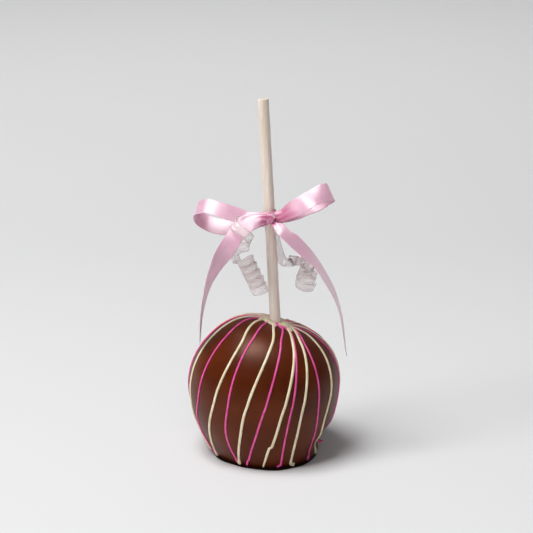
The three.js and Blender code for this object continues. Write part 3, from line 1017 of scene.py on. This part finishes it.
    def route(self, pour: Pour) -> tuple[np.ndarray, np.ndarray, np.ndarray]:
        """Lays one line on the chocolate.

        Args:
            pour: The line.

        Returns:
            Its middle points, outward directions and half widths.
        """
        knots = np.column_stack([self.LATITUDES, pour.azimuths])
        fine = curve_through(knots, np.linspace(0, 1, self.route_samples))
        fine = fine[fine[:, 0] <= pour.end]
        latitude, azimuth = fine[:, 0], fine[:, 1]
        if pour.kink:
            at, turn = pour.kink
            azimuth = azimuth + turn * smoothstep(latitude, at - self.kink_reach, at + self.kink_reach)
        aside = smoothstep(latitude, pour.end - self.foot_turn_reach, pour.end) ** 2
        azimuth = azimuth + pour.foot_turn * aside
        points = self.form.point(latitude, azimuth)
        length = np.concatenate([[0], np.cumsum(np.linalg.norm(np.diff(points, axis=0), axis=1))])
        marks = np.linspace(0, length[-1], int(length[-1] / self.step))
        latitude, azimuth = (np.interp(marks, length, values) for values in (latitude, azimuth))
        points, normals = self.form.point(latitude, azimuth), self.form.normal(latitude, azimuth)
        half = pour.icing.value / 2
        left = marks[-1] - marks
        swell = 1 + pour.foot_swell * np.exp(-((left - self.foot_place) / self.foot_length) ** 2)
        start = np.clip(marks / half, 0, 1)
        end = np.clip(left / half, 0, 1)
        taper = np.sqrt(1 - (1 - start) ** 2) * np.sqrt(1 - (1 - end) ** 2)
        radii = half * swell * np.maximum(taper, self.tip)
        if pour.kink:
            base = self.form.BASE_LATITUDE
            radii *= 1 - self.kink_thinning * smoothstep(latitude, pour.kink[0], base)
        lifted = pour.foot_lift * (1 - smoothstep(left, *self.foot_lift_reach))
        stand = self.lift * pour.icing.value + lifted
        return points + normals * stand[:, None], normals, radii

    def build(self) -> list[bpy.types.Object]:
        """Builds the lines and the pools of both icings.

        Returns:
            The lines and the pools of each icing, one piece for each.
        """
        lines, pieces = self.front() + self.back(), []
        for icing in Icing:
            material = icing.finish().make()
            colour = icing.name.lower()
            routes = [self.route(pour) for pour in lines if pour.icing is icing]
            sizes = np.cumsum([0] + [len(points) for points, _, _ in routes])
            edges = [(i, i + 1) for a, b in zip(sizes, sizes[1:]) for i in range(a, b - 1)]
            threads = plain_mesh(f"{colour}_threads", np.concatenate([r[0] for r in routes]), [], edges)
            store(threads, OUTWARD, np.concatenate([r[1] for r in routes]))
            store(threads, HALF_WIDTH, np.concatenate([r[2] for r in routes]) * MM)
            self.thread_group(material, seed=len(pieces)).apply(threads)
            pieces.append(hand_over(threads, nodes_named(f"{colour}_line_")))
            pool = self.pool(icing, material)
            pieces.append(hand_over(pool, nodes_named(f"{colour}_pool_")))
        return pieces

    def thread_group(self, material: bpy.types.Material, seed: int) -> NodeGroup:
        """Builds the tree that swells routes into threads of uneven width.

        Args:
            material: The icing.
            seed: Moves the unevenness.

        Returns:
            The tree.
        """
        sizes = {
            "Rise": self.rise * 2,
            "Sides": self.sides,
            "Waver": self.waver,
            "Waver Size": self.waver_size * MM,
            "Seed": seed,
        }
        group = NodeGroup("PouredThread", sizes)
        route = group.facing_curve()
        half = group.add("GeometryNodeInputNamedAttribute", {"Name": HALF_WIDTH}, data_type="FLOAT")
        scale = group.add("ShaderNodeMath", {0: 1.0, 1: group.start["Waver Size"]}, operation="DIVIDE")
        where = group.add("GeometryNodeInputPosition").outputs[0]
        inputs = {"Vector": where, "W": group.start["Seed"], "Scale": scale.outputs[0], "Detail": 2.0}
        noise = group.add("ShaderNodeTexNoise", inputs, noise_dimensions="4D").outputs["Fac"]
        even = group.add("ShaderNodeMath", {0: noise, 1: NOISE_MIDDLE}, operation="SUBTRACT").outputs[0]
        inputs = {0: even, 1: group.start["Waver"], 2: 0.5}
        share = group.add("ShaderNodeMath", inputs, operation="MULTIPLY_ADD").outputs[0]
        inputs = {0: half.outputs["Attribute"], 1: share}
        width = group.add("ShaderNodeMath", inputs, operation="MULTIPLY").outputs[0]
        doubled = group.add("ShaderNodeMath", {0: width, 1: 2.0}, operation="MULTIPLY").outputs[0]
        inputs = {"Resolution": group.start["Sides"], "Radius": 1.0}
        circle = group.add("GeometryNodeCurvePrimitiveCircle", inputs)
        flat = group.add("ShaderNodeCombineXYZ", {0: group.start["Rise"], 1: 1.0, 2: 1.0}).outputs[0]
        profile = group.add("GeometryNodeTransform", {"Geometry": circle.outputs["Curve"], "Scale": flat})
        inputs = {"Curve": route, "Profile Curve": profile.outputs[0], "Scale": doubled, "Fill Caps": True}
        bead = group.add("GeometryNodeCurveToMesh", inputs)
        group.end(bead.outputs[0], material)
        return group

    def pool(self, icing: Icing, material: bpy.types.Material) -> bpy.types.Object:
        """Melts blobs into the pools of one icing.

        Args:
            icing: The icing.
            material: Its finish.

        Returns:
            The pools as one piece.
        """
        sides = self.BLOB_RINGS * 2
        polar = np.linspace(0, math.pi, self.BLOB_RINGS)
        turn = np.arange(sides) * 2 * math.pi / sides
        ball = np.stack(
            [
                np.outer(np.sin(polar), np.sin(turn)),
                -np.outer(np.sin(polar), np.cos(turn)),
                np.outer(np.cos(polar), np.ones(sides)),
            ],
            axis=-1,
        ).reshape(-1, 3)
        quads = grid_faces(self.BLOB_RINGS, sides, wrap=True)
        middle = np.array([self.form.stick_x, 0.0, 0.0])
        points, faces = [], []
        for azimuth, distance, around, away, up in self.BLOBS[icing]:
            angle = math.radians(azimuth)
            radial = np.array([math.sin(angle), -math.cos(angle), 0.0])
            side = np.array([math.cos(angle), math.sin(angle), 0.0])
            lumps = middle + radial * distance + np.outer(ball[:, 0] * around, side)
            lumps += np.outer(ball[:, 1] * away, radial)
            lumps[:, 2] = self.form.crown(lumps[:, 0], lumps[:, 1])
            lumps = self.form.lean(lumps)
            lumps[:, 2] += ball[:, 2] * up
            offset = len(points) * len(ball)
            faces += [tuple(offset + i for i in quad) for quad in quads]
            points.append(lumps)
        piece = plain_mesh(f"{icing.name.lower()}_pool", np.concatenate(points), faces)
        remesh = piece.modifiers.new("melt", "REMESH")
        remesh.mode = "VOXEL"
        remesh.voxel_size = self.pool_grain * MM
        soften = piece.modifiers.new("soften", "SMOOTH")
        soften.factor = self.pool_melt
        soften.iterations = self.pool_melt_rounds
        flatten(piece)
        piece.data.materials.clear()
        piece.data.materials.append(material)
        smooth(piece)
        return piece


# ---- Stick ----


@dataclass
class BirchStick:
    """The dowel, with eased ends."""

    line: StickLine
    ease: float = 0.3
    sides: int = 64
    rings: int = 60
    ease_steps: int = 4
    weld_reach: float = 0.001

    def build(self) -> bpy.types.Object:
        """Builds and dresses the stick.

        Returns:
            The stick.
        """
        radius, high = self.line.radius, self.line.exposed
        low = high - self.line.length
        turn = np.linspace(0, math.pi / 2, self.ease_steps)
        eased = [(self.ease * (1 - math.sin(a)), radius - self.ease * (1 - math.cos(a))) for a in turn]
        bottom = [(low + inset, around) for inset, around in reversed(eased)]
        shaft = [(d, radius) for d in np.linspace(low + self.ease, high - self.ease, self.rings)]
        top = [(high - inset, around) for inset, around in eased]
        profile = [(low, 0.0)] + bottom + shaft + top + [(high, 0.0)]
        distances, radii = zip(*profile)
        points = self.line.rings(distances, radii, self.sides)
        piece = plain_mesh("birch_stick", points, grid_faces(len(profile), self.sides, wrap=True))
        piece.data.materials.append(TurnedBirch(lean=self.line.lean).make())
        weld = piece.modifiers.new("close_ends", "WELD")
        weld.merge_threshold = self.weld_reach * MM
        flatten(piece)
        smooth(piece)
        return hand_over(piece, ["stick"])


# ---- Satin bow ----


@dataclass(frozen=True)
class Strip:
    """A stretch of ribbon.

    Attributes:
        stations: Its centre, the direction across it and its width at each of its stations.
        tied_end: Whether its end is gathered in the knot, as its start is.
        slant: How far its end is cut back along one edge; the sign says which edge.
        cup: How many degrees it cups across where it is gathered; the sign says which way.
        lip: How deep one crease beside its edge is.
        painted_shade_reach: How far from its start the painted shade of its folds runs.
    """

    stations: tuple[tuple[tuple[float, ...], tuple[float, ...], float], ...]
    tied_end: bool = False
    slant: float = 0.0
    cup: float = 0.0
    lip: float = 0.0
    painted_shade_reach: float = 8.0
    SAMPLES: ClassVar[int] = 600
    LEAST_ROWS: ClassVar[int] = 8

    def sample(self, step: float) -> tuple[np.ndarray, np.ndarray, np.ndarray, float]:
        """Follows the stations at an even step.

        Args:
            step: The step in millimetres.

        Returns:
            Centres, directions across, half widths and the whole length.
        """
        shares = np.linspace(0, 1, self.SAMPLES)
        centres = curve_through([s[0] for s in self.stations], shares)
        across = unit(curve_through([unit(np.array(s[1])) for s in self.stations], shares))
        half = curve_through([[s[2] / 2] for s in self.stations], shares)[:, 0]
        length = np.concatenate([[0], np.cumsum(np.linalg.norm(np.diff(centres, axis=0), axis=1))])
        marks = np.linspace(0, length[-1], max(int(length[-1] / step), self.LEAST_ROWS))
        even = [np.interp(marks, length, column) for column in (*centres.T, *across.T, half)]
        return np.stack(even[:3], axis=1), unit(np.stack(even[3:6], axis=1)), even[6], float(length[-1])


FULL_WIDTH = 10.0
KNOT_WIDTH = 5.5


@dataclass
class SatinBow:
    """The satin bow: two loops, two tails, the knot and the turn round the stick, as one cloth."""

    stick: StickLine
    width: float = FULL_WIDTH
    flat_length: float = 385.0
    thickness: float = 0.25
    step: float = 0.6
    columns: int = 25
    pleats: float = 2.5
    pleat_depth: float = 0.4
    pleat_reach: float = 9.0
    pleat_phase: float = 1.7  # from strip to strip, in radians
    pleat_drift: float = 0.05  # with each millimetre along, in radians
    # how much less painted shade the crests of the pleats get than their troughs
    pleat_shade_contrast: float = 0.45
    cup_reach: tuple[float, float] = (2.0, 17.0)
    least_cup: float = 0.1
    crease_place: float = 0.58  # from the middle, where the edge is at 1
    crease_width: float = 0.13
    slant_reach: float = 14.0
    painted_shade_start: float = 0.3  # where the painted shade of the folds starts to fade, as a share of its reach
    turn_steps: int = 12
    # how far the painted shade of the folds runs on the turns over the knot
    painted_shade_in_knot: float = 60.0
    wrap_steps: int = 16
    wrap_gap: float = 0.55
    wrap_tilt: float = 0.5  # how much higher its right side is than its middle
    wrap_width: float = 5.4
    knot: tuple[float, float, float] = (3.4, -5.6, 129.4)

    def strips(self) -> list[Strip]:
        """Lists the loops and the tails.

        Returns:
            The left loop, the right loop, the left tail and the right tail.
        """
        left_loop = (
            ((3, -5.4, 129.6), (0, 0.3, 0.95), KNOT_WIDTH),
            ((-8.2, -4.6, 129.1), (0.2, 0.71, 0.66), 8.6),
            ((-14.1, -4, 130.6), (0.24, 0.79, 0.57), FULL_WIDTH),
            ((-20.1, -3.4, 132.5), (0.21, 0.81, 0.55), FULL_WIDTH),
            ((-25.6, -2.1, 134), (0.19, 0.82, 0.53), FULL_WIDTH),
            ((-29.3, -0.5, 134.5), (0.17, 0.84, 0.52), FULL_WIDTH),
            ((-32.6, 1, 133.9), (0.19, 0.83, 0.52), FULL_WIDTH),
            ((-35.3, 3.4, 132), (0.22, 0.81, 0.54), FULL_WIDTH),
            ((-34.9, 7, 127.4), (0.23, 0.83, 0.5), FULL_WIDTH),
            ((-31.5, 7.4, 124.3), (0.24, 0.8, 0.55), FULL_WIDTH),
            ((-25, 5.2, 122.3), (0.28, 0.76, 0.58), FULL_WIDTH),
            ((-18.2, 2.4, 121.9), (0.32, 0.77, 0.56), FULL_WIDTH),
            ((-10.4, -0.8, 123.2), (0.36, 0.72, 0.56), 9),
            ((-3, -3.4, 126), (0.2, 0.6, 0.75), 7),
            ((3, -5.4, 128.4), (0, 0.2, 0.98), KNOT_WIDTH),
        )
        left_tail = (
            ((2.6, -6.6, 129.6), (-0.1, -0.1, 1), 4.6),
            ((-1, -7.4, 129.8), (-0.16, 0.45, 0.88), 6.8),
            ((-4.5, -8, 129.2), (-0.28, 0.62, 0.73), 9.6),
            ((-7.7, -9, 128.1), (-0.4, 0.62, 0.67), FULL_WIDTH),
            ((-10.2, -10.4, 126.4), (-0.52, 0.5, 0.69), FULL_WIDTH),
            ((-12.2, -11.9, 124.5), (-0.64, 0.48, 0.6), 9.4),
            ((-14.8, -13.9, 122), (-0.7, 0.4, 0.6), 9),
            ((-18.4, -16.1, 116.8), (-0.74, 0.1, 0.66), 9),
            ((-24.1, -16.4, 107.6), (-0.56, -0.64, 0.53), FULL_WIDTH),
            ((-28.6, -14.8, 96.8), (-0.28, -0.88, 0.38), FULL_WIDTH),
            ((-31.4, -13.4, 85.5), (-0.13, -0.93, 0.34), FULL_WIDTH),
            ((-32.9, -12.2, 74.9), (-0.07, -0.94, 0.33), FULL_WIDTH),
            ((-33.8, -11.4, 63), (-0.01, -0.93, 0.36), FULL_WIDTH),
        )
        right_loop = (
            ((4, -6, 129.4), (-0.3, 0.2, 0.93), KNOT_WIDTH),
            ((9.8, -6.4, 131.5), (-0.4, 0.6, 0.69), 7.4),
            ((13.5, -6.5, 133.8), (-0.47, 0.62, 0.63), 9),
            ((17.7, -6.3, 135.7), (-0.5, 0.63, 0.59), FULL_WIDTH),
            ((21.6, -5.6, 138), (-0.47, 0.68, 0.56), FULL_WIDTH),
            ((25.8, -3.4, 140), (-0.44, 0.7, 0.56), FULL_WIDTH),
            ((31.3, -0.4, 141.4), (-0.42, 0.45, 0.79), FULL_WIDTH),
            ((34.8, 3, 141), (-0.42, 0.2, 0.89), FULL_WIDTH),
            ((31.4, 5.8, 137.6), (-0.45, 0.4, 0.8), FULL_WIDTH),
            ((26.1, 5.6, 134.1), (-0.46, 0.62, 0.64), FULL_WIDTH),
            ((21.2, 4, 132.6), (-0.43, 0.64, 0.63), FULL_WIDTH),
            ((16.1, 1, 130.8), (-0.38, 0.66, 0.65), 9.5),
            ((11.1, -2.6, 129.1), (-0.32, 0.7, 0.64), 8),
            ((4, -5.4, 128.6), (0, 0.3, 0.95), KNOT_WIDTH),
        )
        right_tail = (
            ((3.6, -5.6, 128.4), (0.3, 0.6, 0.75), 4.6),
            ((5.9, -7, 127.6), (0.6, 0.72, 0.3), 5.4),
            ((8.4, -9.5, 126.1), (0.78, 0.6, 0.14), 7.6),
            ((11.1, -12.3, 123.5), (0.71, 0.7, -0.02), 9.6),
            ((15.2, -13.5, 119.7), (0.49, 0.83, 0.26), FULL_WIDTH),
            ((20.1, -13.3, 114.7), (0.33, 0.87, 0.36), FULL_WIDTH),
            ((24.1, -12.7, 110.6), (0.2, 0.93, 0.32), FULL_WIDTH),
            ((27.6, -12.1, 106.2), (0.14, 0.95, 0.25), FULL_WIDTH),
            ((30.3, -11.6, 101.8), (0.15, 0.96, 0.2), FULL_WIDTH),
            ((35, -10.8, 93.2), (0.2, 0.97, 0), FULL_WIDTH),
            ((38.4, -10.2, 84.6), (0.17, 0.96, -0.2), FULL_WIDTH),
            ((40.9, -10, 74.3), (0.12, 0.95, -0.28), FULL_WIDTH),
            ((43.2, -10, 55.4), (0.07, 0.96, -0.27), FULL_WIDTH),
        )
        return [
            Strip(left_loop, tied_end=True, cup=-40.0),
            Strip(right_loop, tied_end=True, cup=45.0, painted_shade_reach=16.0),
            Strip(left_tail, slant=6.0, cup=-25.0, lip=0.7),
            Strip(right_tail, slant=-6.0, cup=45.0),
        ]

    def bands(self) -> list[Strip]:
        """Lists the turns of the knot and the turn round the stick.

        Returns:
            The three turns over the knot and the one round the stick.
        """
        return [
            self.band((2.6, -5.6, 129.4), (0.1, 0.0, 1.0), (1.0, 0.0, -0.1), (2.6, 2.5), 2.6, 0.0),
            self.band((3.9, -5.9, 129.4), (0.62, 0.0, 0.78), (0.78, 0.0, -0.62), (2.5, 2.4), 2.2, 20.0),
            self.band((4.5, -5.2, 127.9), (0.8, 0.0, -0.6), (0.6, 0.0, 0.8), (2.7, 2.2), 1.8, 0.0),
            self.wrap(),
        ]

    def band(
        self,
        centre: Sequence[float],
        along: Sequence[float],
        across: Sequence[float],
        radii: tuple[float, float],
        width: float,
        start: float,
    ) -> Strip:
        """Gives one closed turn over the knot.

        Args:
            centre: The middle of the turn.
            along: The direction in which it crosses the knot's front.
            across: The direction of its width.
            radii: Its half length along, and its half depth towards the front.
            width: How wide it is, gathered.
            start: Where it starts, in degrees from the back.

        Returns:
            The strip.
        """
        way, side = unit(np.array(along)), unit(np.array(across))
        front = np.array([0.0, -1.0, 0.0])
        stations = []
        for i in range(self.turn_steps + 1):
            angle = math.radians(start + FULL_TURN * i / self.turn_steps)
            place = np.array(centre) - radii[0] * math.sin(angle) * way - radii[1] * math.cos(angle) * front
            stations.append((tuple(place), tuple(side), width))
        return Strip(tuple(stations), tied_end=True, painted_shade_reach=self.painted_shade_in_knot)

    def wrap(self) -> Strip:
        """Gives the turn that holds the knot to the stick.

        Returns:
            The strip.
        """
        middle = self.stick.at(self.knot[2] - self.stick.foot[2])
        up = self.stick.direction
        stations = []
        for i in range(self.wrap_steps + 1):
            angle = 2 * math.pi * i / self.wrap_steps
            out = np.array([math.sin(angle), -math.cos(angle), 0.0])
            place = middle + out * (self.stick.radius + self.wrap_gap)
            place = place + up * self.wrap_tilt * math.sin(angle)
            stations.append((tuple(place), tuple(up), self.wrap_width))
        return Strip(tuple(stations), tied_end=True)

    def surface(self, strip: Strip, number: int) -> tuple[np.ndarray, np.ndarray, np.ndarray]:
        """Spreads a strip into rows of points with its pleats.

        Args:
            strip: The strip.
            number: The strip's number, which moves its pleats.

        Returns:
            The points, row by row, their flat places across and along the ribbon, and how much painted
            shade of the deep folds each gets near the knot, from 0 to 1.
        """
        centres, across, half, length = strip.sample(self.step)
        rows = len(centres)
        along = np.linspace(0, length, rows)
        tangent = unit(np.gradient(centres, axis=0))
        out = unit(np.cross(across, tangent))
        u = np.linspace(-1, 1, self.columns)
        near_start = 1 - smoothstep(along, 0, self.pleat_reach)
        near_end = strip.tied_end * (1 - smoothstep(length - along, 0, self.pleat_reach))
        depth = self.pleat_depth * (near_start + near_end)
        from_knot = np.minimum(along, length - along) if strip.tied_end else along
        gathered = 1 - smoothstep(from_knot, *self.cup_reach)
        bend = np.radians(strip.cup * gathered + self.least_cup)[:, None]
        phase = self.pleat_phase * number + self.pleat_drift * along
        wave = np.sin(math.pi * self.pleats * u[None, :] + phase[:, None])
        cupped = half[:, None] * (1 - np.cos(u[None, :] * bend)) / bend
        crease = np.exp(-(((u - self.crease_place) / self.crease_width) ** 2))
        lift = depth[:, None] * wave + cupped - strip.lip * gathered[:, None] * crease
        sideways = half[:, None] * np.sin(u[None, :] * bend) / bend
        cut = smoothstep(along, length - self.slant_reach, length)[:, None]
        shear = strip.slant * cut * (1 + u[None, :] * np.sign(strip.slant or 1)) / 2
        points = (
            centres[:, None, :]
            + across[:, None, :] * sideways[..., None]
            + out[:, None, :] * lift[..., None]
            - tangent[:, None, :] * np.abs(shear)[..., None]
        )
        flat = np.stack(np.broadcast_arrays(u[None, :] * self.width / 2, along[:, None]), axis=-1)
        # painted shade of the folds: full at the knot and in the troughs of the pleats, fading along the
        # ribbon
        knot_shade = 1 - smoothstep(along, self.painted_shade_start * strip.painted_shade_reach, strip.painted_shade_reach)[:, None]
        gather = knot_shade * (1 - self.pleat_shade_contrast * (wave + 1) / 2)
        return points.reshape(-1, 3), flat.reshape(-1, 2) * MM, gather.ravel()

    def build(self) -> bpy.types.Object:
        """Builds and dresses the bow.

        Returns:
            The bow.
        """
        points, flats, fold_shades, faces, total = [], [], [], [], 0
        for number, strip in enumerate(self.strips() + self.bands()):
            made, flat, gather = self.surface(strip, number)
            rows = len(made) // self.columns
            faces += [tuple(total + i for i in quad) for quad in grid_faces(rows, self.columns)]
            points.append(made)
            flats.append(flat)
            fold_shades.append(gather)
            total += len(made)
        piece = plain_mesh("satin_bow", np.concatenate(points), faces)
        store(piece, WovenSatin.FOLD_SHADE_NAME, np.concatenate(fold_shades))
        layer = piece.data.uv_layers.new(name=WovenSatin.UV_NAME)
        corners = np.zeros(len(piece.data.loops), int)
        piece.data.loops.foreach_get("vertex_index", corners)
        layer.data.foreach_set("uv", np.concatenate(flats)[corners].ravel())
        piece.data.materials.append(WovenSatin().make())
        smooth(piece)
        solid = piece.modifiers.new("cloth_thickness", "SOLIDIFY")
        solid.thickness = self.thickness * MM
        solid.offset = 0.0
        flatten(piece)
        hand_over(piece, ["satin_ribbon"])
        return piece


# ---- Film curls ----


@dataclass
class FilmCurl:
    """One end of the clear film: a lead from the knot and the curl that it winds into.

    Attributes:
        name: The piece's name.
        node: The CAD node that it stands for.
        lead: The lead's points and the directions across it.
        axis: Points on the curl's axis, evenly parted.
        radii: The curl's radius at evenly parted places along it.
        turns: How many turns it has made at evenly parted places along it.
        start_angle: Where on its first turn it starts, from the front.
        width: The film's width.
        thickness: The film's thickness.
        flare: How far the film leans out of a plain tube, as a share of its width.
        steps_per_turn: Points in each turn.
        lead_steps: Points in the lead.
        route_samples: Places at which the axis, radii and turns are read.
    """

    name: str
    node: str
    lead: tuple[tuple[tuple[float, ...], tuple[float, ...]], ...]
    axis: tuple[tuple[float, float, float], ...]
    radii: tuple[float, ...]
    turns: tuple[float, ...]
    start_angle: float
    width: float = 5.0
    thickness: float = 0.12
    flare: float = 0.12
    steps_per_turn: int = 40
    lead_steps: int = 90
    route_samples: int = 300

    def route(self) -> tuple[np.ndarray, np.ndarray]:
        """Winds the film's middle line.

        Returns:
            Its points and the directions across the film.
        """
        shares = np.linspace(0, 1, self.route_samples)
        axis = curve_through(self.axis, shares)
        turns = curve_through([[t] for t in self.turns], shares)[:, 0]
        radii = curve_through([[r] for r in self.radii], shares)[:, 0]
        wanted = np.linspace(0, turns[-1], int(turns[-1] * self.steps_per_turn))
        middle = np.stack([np.interp(wanted, turns, axis[:, i]) for i in range(3)], axis=1)
        way = unit(np.gradient(middle, axis=0))
        front = np.array([0.0, -1.0, 0.0])
        front = unit(front - (way @ front)[:, None] * way)
        side = np.cross(front, way)
        angle = np.radians(self.start_angle + FULL_TURN * wanted)[:, None]
        out = front * np.cos(angle) + side * np.sin(angle)
        coil = middle + out * np.interp(wanted, turns, radii)[:, None]
        coil_across = unit(self.flare * (out + side) - way)
        points, across = zip(*self.lead, (coil[0], coil_across[0]))
        steps = np.linspace(0, 1, self.lead_steps)
        lead = curve_through(points, steps)
        lead_across = unit(curve_through(unit(np.array(across)), steps))
        return np.vstack([lead[:-1], coil]), np.vstack([lead_across[:-1], coil_across])

    def build(self, material: bpy.types.Material) -> bpy.types.Object:
        """Builds and dresses the curl.

        Args:
            material: The film.

        Returns:
            The curl.
        """
        points, across = self.route()
        tangent = np.gradient(points, axis=0)
        piece = plain_mesh(self.name, points, [], [(i, i + 1) for i in range(len(points) - 1)])
        store(piece, OUTWARD, unit(np.cross(across, tangent)))
        self.group(material).apply(piece)
        return hand_over(piece, [self.node])

    def group(self, material: bpy.types.Material) -> NodeGroup:
        """Builds the tree that widens the route into a flat strip.

        Args:
            material: The film.

        Returns:
            The tree.
        """
        sizes = {"Film Width": self.width * MM, "Film Thickness": self.thickness * MM}
        group = NodeGroup("FlatFilm", sizes)
        route = group.facing_curve()
        inputs = {"Width": group.start["Film Thickness"], "Height": group.start["Film Width"]}
        flat = group.add("GeometryNodeCurvePrimitiveQuadrilateral", inputs)
        place = group.add("GeometryNodeInputPosition").outputs[0]
        height = group.add("ShaderNodeSeparateXYZ", {0: place}).outputs["Y"]
        side = group.add("ShaderNodeMath", {0: height, 1: group.start["Film Width"]}, operation="DIVIDE")
        inputs = {"Geometry": flat.outputs[0], "Name": ClearFilm.SIDE_NAME, "Value": side.outputs[0]}
        marked = group.add("GeometryNodeStoreNamedAttribute", inputs, data_type="FLOAT", domain="POINT")
        inputs = {"Curve": route, "Profile Curve": marked.outputs[0], "Fill Caps": True}
        strip = group.add("GeometryNodeCurveToMesh", inputs)
        group.end(strip.outputs[0], material)
        return group


def film_curls() -> list[FilmCurl]:
    """Lists the curls.

    Returns:
        The left one and the right one.
    """
    return [
        FilmCurl(
            name="clear_curl_left",
            node="film_curl_left",
            lead=(
                ((-1.0, -5.6, 127.6), (0.0, 0.4, 0.9)),
                ((-5.4, -6.6, 128.6), (0.1, 0.6, 0.75)),
                ((-10.6, -7.4, 128.4), (0.3, 0.6, 0.75)),
                ((-15.2, -9.6, 128.6), (0.5, 0.2, 0.83)),
                ((-15.0, -13.2, 127.2), (0.66, 0.1, 0.72)),
                ((-11.8, -15.2, 125.3), (0.66, 0.25, 0.7)),
                ((-8.7, -15.2, 122.7), (0.66, 0.25, 0.7)),
                ((-6.7, -12.4, 119.4), (0.5, 0.1, 0.85)),
                ((-8.3, -8.4, 115.2), (0.2, 0.0, 1.0)),
                ((-12.5, -6.4, 113.2), (0.0, 0.0, 1.0)),
                ((-15.0, -8.2, 110.6), (-0.35, 0.0, 0.93)),
            ),
            axis=((-10.0, -8.6, 108.2), (-6.0, -8.4, 99.5), (-1.9, -8.2, 90.8)),
            radii=(4.4, 4.4, 4.4),
            turns=(0.0, 2.3, 4.65),
            start_angle=-90,
        ),
        FilmCurl(
            name="clear_curl_right",
            node="film_curl_right",
            lead=(
                ((4.4, 4.2, 124.6), (0.8, 0.6, 0.1)),
                ((5.7, 4.6, 119.0), (0.8, 0.6, 0.1)),
                ((7.0, 4.8, 112.0), (0.8, 0.6, 0.1)),
                ((8.6, 4.8, 105.9), (0.8, 0.4, 0.4)),
                ((10.7, 3.4, 103.2), (0.5, 0.5, 0.7)),
                ((13.4, 1.4, 103.6), (0.1, 0.7, 0.7)),
            ),
            axis=(
                (14.8, 4.0, 103.6),
                (19.2, 4.0, 103.6),
                (23.3, 3.5, 100.7),
                (22.2, 2.0, 96.3),
                (22.1, 2.6, 93.7),
                (21.8, 3.2, 91.1),
            ),
            radii=(2.5, 2.6, 2.6, 5.0, 5.3, 5.3),
            turns=(0.0, 1.0, 2.0, 2.9, 3.5, 4.2),
            start_angle=0,
        ),
    ]


# ---- Studio ----


class LightUse(Enum):
    """What a softbox gives: light and shade on matt surfaces, highlights on glossy ones, or both."""

    SHADE_AND_HIGHLIGHTS = "both"
    SHADE = "shade"
    HIGHLIGHTS = "highlights"


@dataclass(frozen=True)
class Softbox:
    """An area light.

    Attributes:
        name: The light's name.
        place: Where it stands, in metres.
        size: The length of its side in metres.
        power: Its power in watts.
        aim: The point that it faces, in metres.
        use: What it gives.
    """

    name: str
    place: tuple[float, float, float]
    size: float
    power: float
    aim: tuple[float, float, float]
    use: LightUse = LightUse.SHADE_AND_HIGHLIGHTS

    def build(self) -> None:
        """Adds the light to the scene."""
        data = bpy.data.lights.new(self.name, "AREA")
        data.shape = "SQUARE"
        data.size = self.size
        data.energy = self.power
        lamp = bpy.data.objects.new(self.name, data)
        lamp.location = self.place
        lamp.visible_glossy = self.use is not LightUse.SHADE
        lamp.visible_diffuse = self.use is not LightUse.HIGHLIGHTS
        facing = Vector(self.aim) - Vector(self.place)
        lamp.rotation_euler = facing.to_track_quat("-Z", "Y").to_euler()
        bpy.context.scene.collection.objects.link(lamp)


@dataclass
class Studio:
    """A plain pale sweep, soft light and the camera, in metres but for the lens and its sensor."""

    camera_place: tuple[float, float, float] = (0.0013, -1.0525, 0.4075)
    camera_dip: float = 16.2
    lens: float = 141.5
    sensor: float = 36.0
    sweep_width: float = 8.0
    sweep_front: float = -3.0
    sweep_back: float = 3.0
    sweep_radius: float = 1.2
    sweep_height: float = 3.5
    sweep_steps: int = 16
    air_colour: str = "f2f2f2"
    air_light: float = 0.14
    softboxes: tuple[Softbox, ...] = (
        Softbox("key_softbox", (-0.6, -0.4, 2.2), 1.1, 46.0, (0.0, 0.0, 0.1), LightUse.SHADE),
        Softbox("top_softbox", (-0.45, 0.12, 2.1), 1.05, 55.0, (0.0, 0.0, 0.1), LightUse.HIGHLIGHTS),
        Softbox("side_softbox", (-1.7, -0.9, 0.5), 0.7, 13.0, (0.0, 0.0, 0.14), LightUse.SHADE),
        Softbox("front_softbox", (0.2, -2.4, 1.4), 1.0, 6.8, (0.0, 0.0, 0.14), LightUse.SHADE),
        Softbox("sweep_softbox", (0.0, 0.9, 1.7), 1.2, 14.5, (0.0, 3.6, 0.9)),
    )

    def camera(self) -> None:
        """Adds the camera."""
        data = bpy.data.cameras.new("camera")
        data.lens = self.lens
        data.sensor_width = self.sensor
        camera = bpy.data.objects.new("camera", data)
        camera.location = self.camera_place
        camera.rotation_euler = (math.radians(90 - self.camera_dip), 0.0, 0.0)
        bpy.context.scene.collection.objects.link(camera)
        bpy.context.scene.camera = camera

    def build(self) -> None:
        """Builds the sweep and the lights."""
        turn = np.linspace(0, math.pi / 2, self.sweep_steps)
        back, radius = self.sweep_back, self.sweep_radius
        bend = [(back + radius * math.sin(a), radius * (1 - math.cos(a))) for a in turn]
        profile = [(self.sweep_front, 0.0)] + bend + [(back + radius, self.sweep_height)]
        half = self.sweep_width / 2
        points = np.array([(x, y, z) for y, z in profile for x in (-half, half)]) / MM
        sweep = plain_mesh("paper_sweep", points, grid_faces(len(profile), 2))
        sweep.data.materials.append(StudioPaper().make())
        smooth(sweep)
        for softbox in self.softboxes:
            softbox.build()
        world = bpy.data.worlds.new("studio_air")
        world.use_nodes = True
        air = world.node_tree.nodes["Background"].inputs
        air["Strength"].default_value = self.air_light
        air["Color"].default_value = linear(self.air_colour)
        bpy.context.scene.world = world
        bpy.context.scene.view_settings.view_transform = "Standard"


def main() -> None:
    """Builds the studio and every piece in order."""
    logging.basicConfig(level=logging.INFO, format="%(name)s: %(message)s")
    studio = Studio()
    studio.camera()
    form, stick = AppleForm(), StickLine()
    ChocolateCoat(form, stick).build()
    BirchStick(stick).build()
    IcingPour(form).build()
    SatinBow(stick).build()
    film = ClearFilm().make()
    for curl in film_curls():
        curl.build(film)
    studio.build()


if __name__ == "__main__":
    main()
